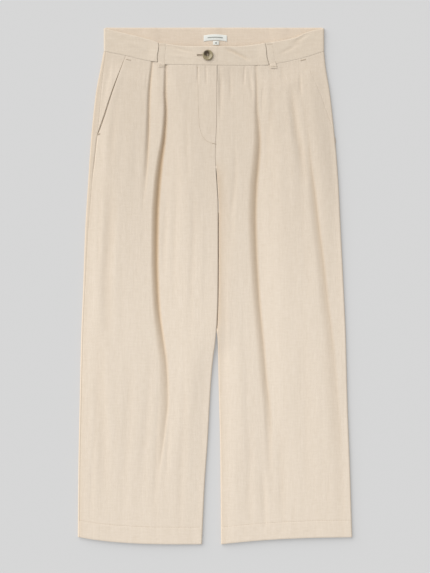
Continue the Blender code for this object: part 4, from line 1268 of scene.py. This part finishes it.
# %% Making stitches
def stitches(name, points, pitch, length, radius, across=False):
    """Small threads along a line of (x, y, z) points in mm, or turned across it."""
    points = np.asarray(points, float)
    run = np.concatenate([[0.0], np.cumsum(np.linalg.norm(np.diff(points, axis=0), axis=1))])
    count = max(2, int(run[-1] / pitch))
    at = (np.arange(count) + 0.5) * run[-1] / count
    ahead = np.stack([np.interp(at + 0.4, run, points[:, k]) for k in range(3)], 1)
    behind = np.stack([np.interp(at - 0.4, run, points[:, k]) for k in range(3)], 1)
    shape = bmesh.new()
    for start, end in zip(behind, ahead):
        line = Vector(end - start).normalized()
        if across:
            line = Vector((-line.y, line.x, 0.0)).normalized()
        turn = line.to_track_quat("X", "Z").to_matrix().to_4x4()
        size = Matrix.Diagonal((length / 2 * MM, radius * MM, radius * MM, 1.0))
        centre = Matrix.Translation(Vector((start + end) / 2) * MM)
        bmesh.ops.create_uvsphere(shape, u_segments=6, v_segments=4, radius=1.0, matrix=centre @ turn @ size)
    for face in shape.faces:
        face.smooth = True
    mesh = bpy.data.meshes.new(name)
    shape.to_mesh(mesh)
    shape.free()
    piece = link(name, mesh, thread)
    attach(piece, "root")
    print(name, count, "stitches")


def tack(name, points, pitch, length, radius):
    """A bar tack, or another row whose stitches lie across its line."""
    stitches(name, points, pitch, length, radius, across=True)


def on_front(leg, x, y, proud=0.12):
    x, y = np.asarray(x, float), np.asarray(y, float)
    return np.stack([x, y, front_height(leg, x, y) + proud], -1)


def on_band(x, y, proud=0.12):
    x, y = np.asarray(x, float), np.asarray(y, float)
    return np.stack([x, y, band_height(x, y) + proud], -1)


# %% Fly, hem, loop and pocket stitches
FLY_STITCH = [(-30.6, 383.0), (-29.9, 345.0), (-28.8, 300.0), (-27.6, 282.0), (-24.4, 268.0), (-18.4, 257.0),
              (-9.5, 250.8), (1.2, 248.3)]
fly_at = np.linspace(0.0, 7.0, 90)
fly_x = curve(fly_at, range(8), [x for x, _y in FLY_STITCH])
fly_y = curve(fly_at, range(8), [y for _x, y in FLY_STITCH])
stitches("fly_stitches", on_front("right", fly_x, fly_y), 2.6, 2.2, 0.3)
tack("fly_bar_tack", on_front("right", [-5.0, 2.0], [249.0, 248.2]), 0.5, 1.8, 0.26)

HEM_STITCH = (3.0, 2.3, 0.26)   # pitch, length and radius
for leg in ("right", "left"):
    hem_start = float(read(INNERS, leg, HEM_Y)) + SIDE[leg] * 4.0
    hem_x = np.linspace(hem_start, float(side_fold_x(leg, HEM_Y)), 90)
    hem_front = on_front(leg, hem_x, hem_edge(leg, hem_x) + HEM_DEPTH)
    stitches("hem_stitches_%s_front" % leg, hem_front, *HEM_STITCH)
    back_x = hem_x[4:-4]
    hem_back = np.stack([back_x, hem_edge(leg, back_x) + HEM_DEPTH, np.full_like(back_x, 0.35)], -1)
    stitches("hem_stitches_%s_back" % leg, hem_back, *HEM_STITCH)
    line_x, line_y, line_z = loop_lines[leg]
    for name, row in (("lower", 40), ("upper", 3)):
        middle = np.array([line_x[row], line_y[row], line_z[row] + 0.1])
        half = np.array([LOOP_HALF - 0.7, 0.0, 0.0])
        tack("belt_loop_%s_%s_tack" % (leg, name), [middle - half, middle + half], 0.8, 1.5, 0.2)

Tack = namedtuple("Tack", "name leg x y proud length radius")
for pocket in (
        Tack("pocket_foot_tack_right", "right", [-205.0, -200.5], [264.5, 266.5], 0.3, 2.4, 0.3),
        Tack("pocket_top_tack_right", "right", [-155.5, -147.0], [396.3, 394.6], 0.25, 1.5, 0.28),
        Tack("pocket_top_tack_left", "left", [149.0, 158.5], [394.2, 396.4], 0.3, 2.0, 0.3)):
    line = on_front(pocket.leg, pocket.x, pocket.y, pocket.proud)
    tack(pocket.name, line, 0.5, pocket.length, pocket.radius)

# %% [markdown]
# ## Button and buttonhole
# The horn button is turned from a profile with a raised rim and a dished middle, and a cutter drills its four
# holes. Thread crosses between the holes in two bars. It sits on a thread stem at the end of a worked
# buttonhole, whose slit is really cut through the waistband.

# %% Button
def revolve(shape, profile, steps, centre):
    """Spins a profile of (radius, z) about an upright axis through centre, all in mm."""
    rim = [shape.verts.new((centre[0] * MM + radius * MM, centre[1] * MM, z * MM)) for radius, z in profile]
    edges = [shape.edges.new(pair) for pair in zip(rim, rim[1:])]
    bmesh.ops.spin(shape, geom=rim + edges, cent=Vector((centre[0], centre[1], 0.0)) * MM, axis=(0, 0, 1),
                   angle=2 * math.pi, steps=steps, use_merge=True)
    bmesh.ops.remove_doubles(shape, verts=shape.verts[:], dist=0.000002)
    bmesh.ops.recalc_face_normals(shape, faces=shape.faces[:])


def turned_piece(name, profiles, steps, centres, material):
    shape = bmesh.new()
    for profile, centre in zip(profiles, centres):
        revolve(shape, profile, steps, centre)
    for face in shape.faces:
        face.smooth = True
    mesh = bpy.data.meshes.new(name)
    shape.to_mesh(mesh)
    shape.free()
    mesh.set_sharp_from_angle(angle=math.radians(50.0))
    return link(name, mesh, material)


button_low, button_high = in_mm("button")
BUTTON_RADIUS = (button_high[0] - button_low[0]) / 2
button_centre = ((button_low + button_high) / 2)[:2]
button_top = button_high[2]
BUTTON_THICKNESS = 3.0
button_base = button_top - BUTTON_THICKNESS
HOLE_CIRCLE, HOLE_RADIUS = 2.1, 0.8
BACK_PROFILE = [   # share of the radius, and mm above the base: the back, and the outside of the rim
    (0.0, 0.0), (0.50, 0.0), (0.80, 0.45), (0.95, 1.1), (1.0, 1.75), (0.985, 2.3), (0.94, 2.75)]
FACE_PROFILE = [   # share of the radius, and mm below the top: the rim's inside, and the dished middle
    (0.86, 0.0), (0.78, 0.08), (0.70, 0.42), (0.62, 0.85), (0.52, 1.12), (0.30, 1.25), (0.0, 1.28)]
button_profile = [(BUTTON_RADIUS * share, button_base + above) for share, above in BACK_PROFILE]
button_profile += [(BUTTON_RADIUS * share, button_top - below) for share, below in FACE_PROFILE]


def horn(name):
    """Polished horn: clouded khaki, with drawn-out streaks and one dark patch towards the upper left."""
    made = new_material(name, 0.34, 0.0, 0.5)
    tree = made.node_tree
    shader = shader_of(made)
    shader.inputs["Coat Weight"].default_value = 0.15
    shader.inputs["Coat Roughness"].default_value = 0.12
    place = tree.nodes.new("ShaderNodeTexCoord")
    shift = tree.nodes.new("ShaderNodeMapping")
    shift.inputs["Location"].default_value = (-button_centre[0] * MM, -button_centre[1] * MM, 0.0)
    tree.links.new(place.outputs["Object"], shift.inputs["Vector"])
    centred = shift.outputs["Vector"]
    cloud = streaks(tree, centred, 0.0045, 0.0016, 4.0)
    grain = streaks(tree, centred, 0.0016, 0.0005, 3.0)
    patch_place = tree.nodes.new("ShaderNodeVectorMath")
    patch_place.operation = "DISTANCE"
    tree.links.new(centred, patch_place.inputs[0])
    patch_place.inputs[1].default_value = (-0.0021, 0.0034, button_top * MM - 0.001)
    ragged = calc(tree, "MULTIPLY_ADD", cloud, -0.0036, patch_place.outputs["Value"])
    patch = calc(tree, "SUBTRACT", 1.0, calc(tree, "MULTIPLY", calc(tree, "SUBTRACT", ragged, 0.0018), 360.0))
    patch_range = tree.nodes.new("ShaderNodeClamp")
    tree.links.new(patch, patch_range.inputs["Value"])
    body = mix_colours(tree, cloud, (0.130, 0.095, 0.045), (0.470, 0.400, 0.245))
    body = mix_colours(tree, calc(tree, "MULTIPLY", grain, 0.5), body, (0.30, 0.24, 0.13))
    tree.links.new(mix_colours(tree, patch_range.outputs[0], body, (0.060, 0.038, 0.016)),
                   shader.inputs["Base Color"])
    tree.links.new(calc(tree, "MULTIPLY_ADD", grain, 0.2, 0.22), shader.inputs["Roughness"])
    tree.links.new(bump(tree, calc(tree, "MULTIPLY", grain, 0.03)), shader.inputs["Normal"])
    return made


button_piece = turned_piece("horn_button", [button_profile], 56, [button_centre], horn("clouded horn"))
hole_places = [button_centre + HOLE_CIRCLE * np.array([math.cos(a), math.sin(a)])
               for a in np.radians([45.0, 135.0, 225.0, 315.0])]
drill = [(0.0, button_base - 1.0), (HOLE_RADIUS, button_base - 1.0), (HOLE_RADIUS, button_top + 1.0),
         (0.0, button_top + 1.0)]
drills = turned_piece("button_drills", [drill] * 4, 14, hole_places, thread)
drills.hide_render = True
drills.display_type = "WIRE"
cut = button_piece.modifiers.new("holes", "BOOLEAN")
cut.object = drills
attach(button_piece, "root")
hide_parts("button")

stem_height = float(band_height(button_centre[0], button_centre[1]))
stem_foot, stem_head = stem_height - 1.9, button_base + 0.3
stem = [(0.0, stem_foot), (1.3, stem_foot), (1.1, stem_head), (0.0, stem_head)]
stem_piece = turned_piece("button_thread_stem", [stem], 12, [button_centre], thread)
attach(stem_piece, "root")
for number, side in ((1, -1.0), (2, 1.0)):
    bar_y = button_centre[1] + side * HOLE_CIRCLE * math.sin(math.radians(45))
    middle = np.array([button_centre[0], bar_y, button_top - 1.05])
    half = np.array([0.0, 0.42, 0.0])
    tack("button_thread_%d" % number, [middle - half, middle + half], 0.28, 3.6, 0.24)
print("button", round(2 * BUTTON_RADIUS, 1), "mm across")

# %% Buttonhole
BUTTONHOLE_LENGTH = 19.4
HOLE_END_X = button_centre[0] + 1.0
HOLE_START_X = HOLE_END_X - BUTTONHOLE_LENGTH
HOLE_Y = button_centre[1] + 0.3
slit_mesh = bpy.data.meshes.new("buttonhole_knife")
slit_shape = bmesh.new()
bmesh.ops.create_cube(slit_shape, size=1.0)
bmesh.ops.scale(slit_shape, vec=Vector((HOLE_END_X - HOLE_START_X, 1.1, 8.0)) * MM, verts=slit_shape.verts)
bmesh.ops.translate(slit_shape, verts=slit_shape.verts,
                    vec=Vector(((HOLE_END_X + HOLE_START_X) / 2, HOLE_Y, stem_height)) * MM)
slit_shape.to_mesh(slit_mesh)
slit_shape.free()
knife = link("buttonhole_knife", slit_mesh)
knife.hide_render = True
knife.display_type = "WIRE"
slit = band_pieces["right"][0].modifiers.new("buttonhole", "BOOLEAN")
slit.operation = "DIFFERENCE"
slit.object = knife
hole_x = np.linspace(HOLE_START_X, HOLE_END_X - 1.0, 12)
for name, offset in (("upper", 1.25), ("lower", -1.25)):
    row = on_band(hole_x, np.full_like(hole_x, HOLE_Y + offset), 0.05)
    tack("buttonhole_stitches_" + name, row, 0.5, 1.5, 0.3)
end_y = np.linspace(HOLE_Y - 1.6, HOLE_Y + 1.6, 5)
end_row = on_band(np.full_like(end_y, HOLE_START_X - 0.5), end_y, 0.08)
tack("buttonhole_end_tack", end_row, 0.5, 1.5, 0.3)
print("buttonhole", BUTTONHOLE_LENGTH, "mm long")

# %% [markdown]
# ## The zip behind the fly
# The closed zip hides between the fly and the back panels. Its solid keeps its shape, and gets the finish of
# a ribbed cotton tape.

# %% Zip tape
tape = new_material("zip tape", 0.8, 0.1, 0.3)
tape_tree = tape.node_tree
tape_place = tape_tree.nodes.new("ShaderNodeTexCoord")
tape_noise = streaks(tape_tree, tape_place.outputs["Object"], 0.0008, 0.004)
tape_colour = mix_colours(tape_tree, tape_noise, (0.56, 0.47, 0.36), (0.70, 0.60, 0.48))
tape_tree.links.new(tape_colour, shader_of(tape).inputs["Base Color"])
tape_relief = calc(tape_tree, "MULTIPLY", tape_noise, 0.1)
tape_tree.links.new(bump(tape_tree, tape_relief), shader_of(tape).inputs["Normal"])
zip_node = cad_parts["fly_zip"]
for slot in zip_node.material_slots:
    slot.material = tape
print("zip tape slots:", len(zip_node.material_slots))

# %% [markdown]
# ## Camera, light and table
# The garment lies under a camera that looks straight down with a long lens. A broad soft light stands at
# the upper left, so shadows fall softly to the right and below, and the pale room fills the rest.

# %% Camera, lights and floor
FIELD_HEIGHT = 1.0002          # metres of table that the picture is high
LENS, SENSOR = 100.0, 36.0
camera_data = bpy.data.cameras.new("overhead")
camera_data.lens = LENS
camera_data.sensor_fit = "VERTICAL"
camera_data.sensor_height = SENSOR
camera = bpy.data.objects.new("overhead", camera_data)
camera.location = (0.0, -0.0006, FIELD_HEIGHT * LENS / SENSOR + 0.008)
collection.objects.link(camera)
bpy.context.scene.camera = camera

floor_mesh = bpy.data.meshes.new("floor")
floor_shape = bmesh.new()
bmesh.ops.create_grid(floor_shape, x_segments=1, y_segments=1, size=4.0)
bmesh.ops.translate(floor_shape, verts=floor_shape.verts, vec=(0.0, 0.0, -0.0003))
floor_shape.to_mesh(floor_mesh)
floor_shape.free()
floor_paint = new_material("pale grey table", 0.9, 0.0, 0.1)
shader_of(floor_paint).inputs["Base Color"].default_value = (0.42, 0.42, 0.42, 1.0)
shader_of(floor_paint).inputs["Emission Color"].default_value = (1.0, 1.0, 1.0, 1.0)
shader_of(floor_paint).inputs["Emission Strength"].default_value = 0.225
floor = link("floor", floor_mesh, floor_paint)
floor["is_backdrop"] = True

sun_data = bpy.data.lights.new("softbox", "SUN")
sun_data.energy = 3.0
sun_data.angle = math.radians(66.0)
sun = bpy.data.objects.new("softbox", sun_data)
SUN_FROM = Vector((-0.62, 0.56, 0.56))
sun.rotation_euler = SUN_FROM.to_track_quat("Z", "Y").to_euler()
collection.objects.link(sun)

world = bpy.data.worlds.new("pale room")
world.use_nodes = True
world.node_tree.nodes["Background"].inputs["Color"].default_value = (1.0, 1.0, 1.0, 1.0)
world.node_tree.nodes["Background"].inputs["Strength"].default_value = 0.54
bpy.context.scene.world = world
bpy.context.scene.view_settings.view_transform = "Standard"
print("camera height, m:", round(camera.location.z, 3))

# %% [markdown]
# ## Closing
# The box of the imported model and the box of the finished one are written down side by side.

# %% Sizes and the closing call
visual_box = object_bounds()
{"cad": [list(corner) for corner in cad_box], "visual": [list(corner) for corner in visual_box]}
print("visual box", [round(c, 4) for corner in visual_box for c in corner])
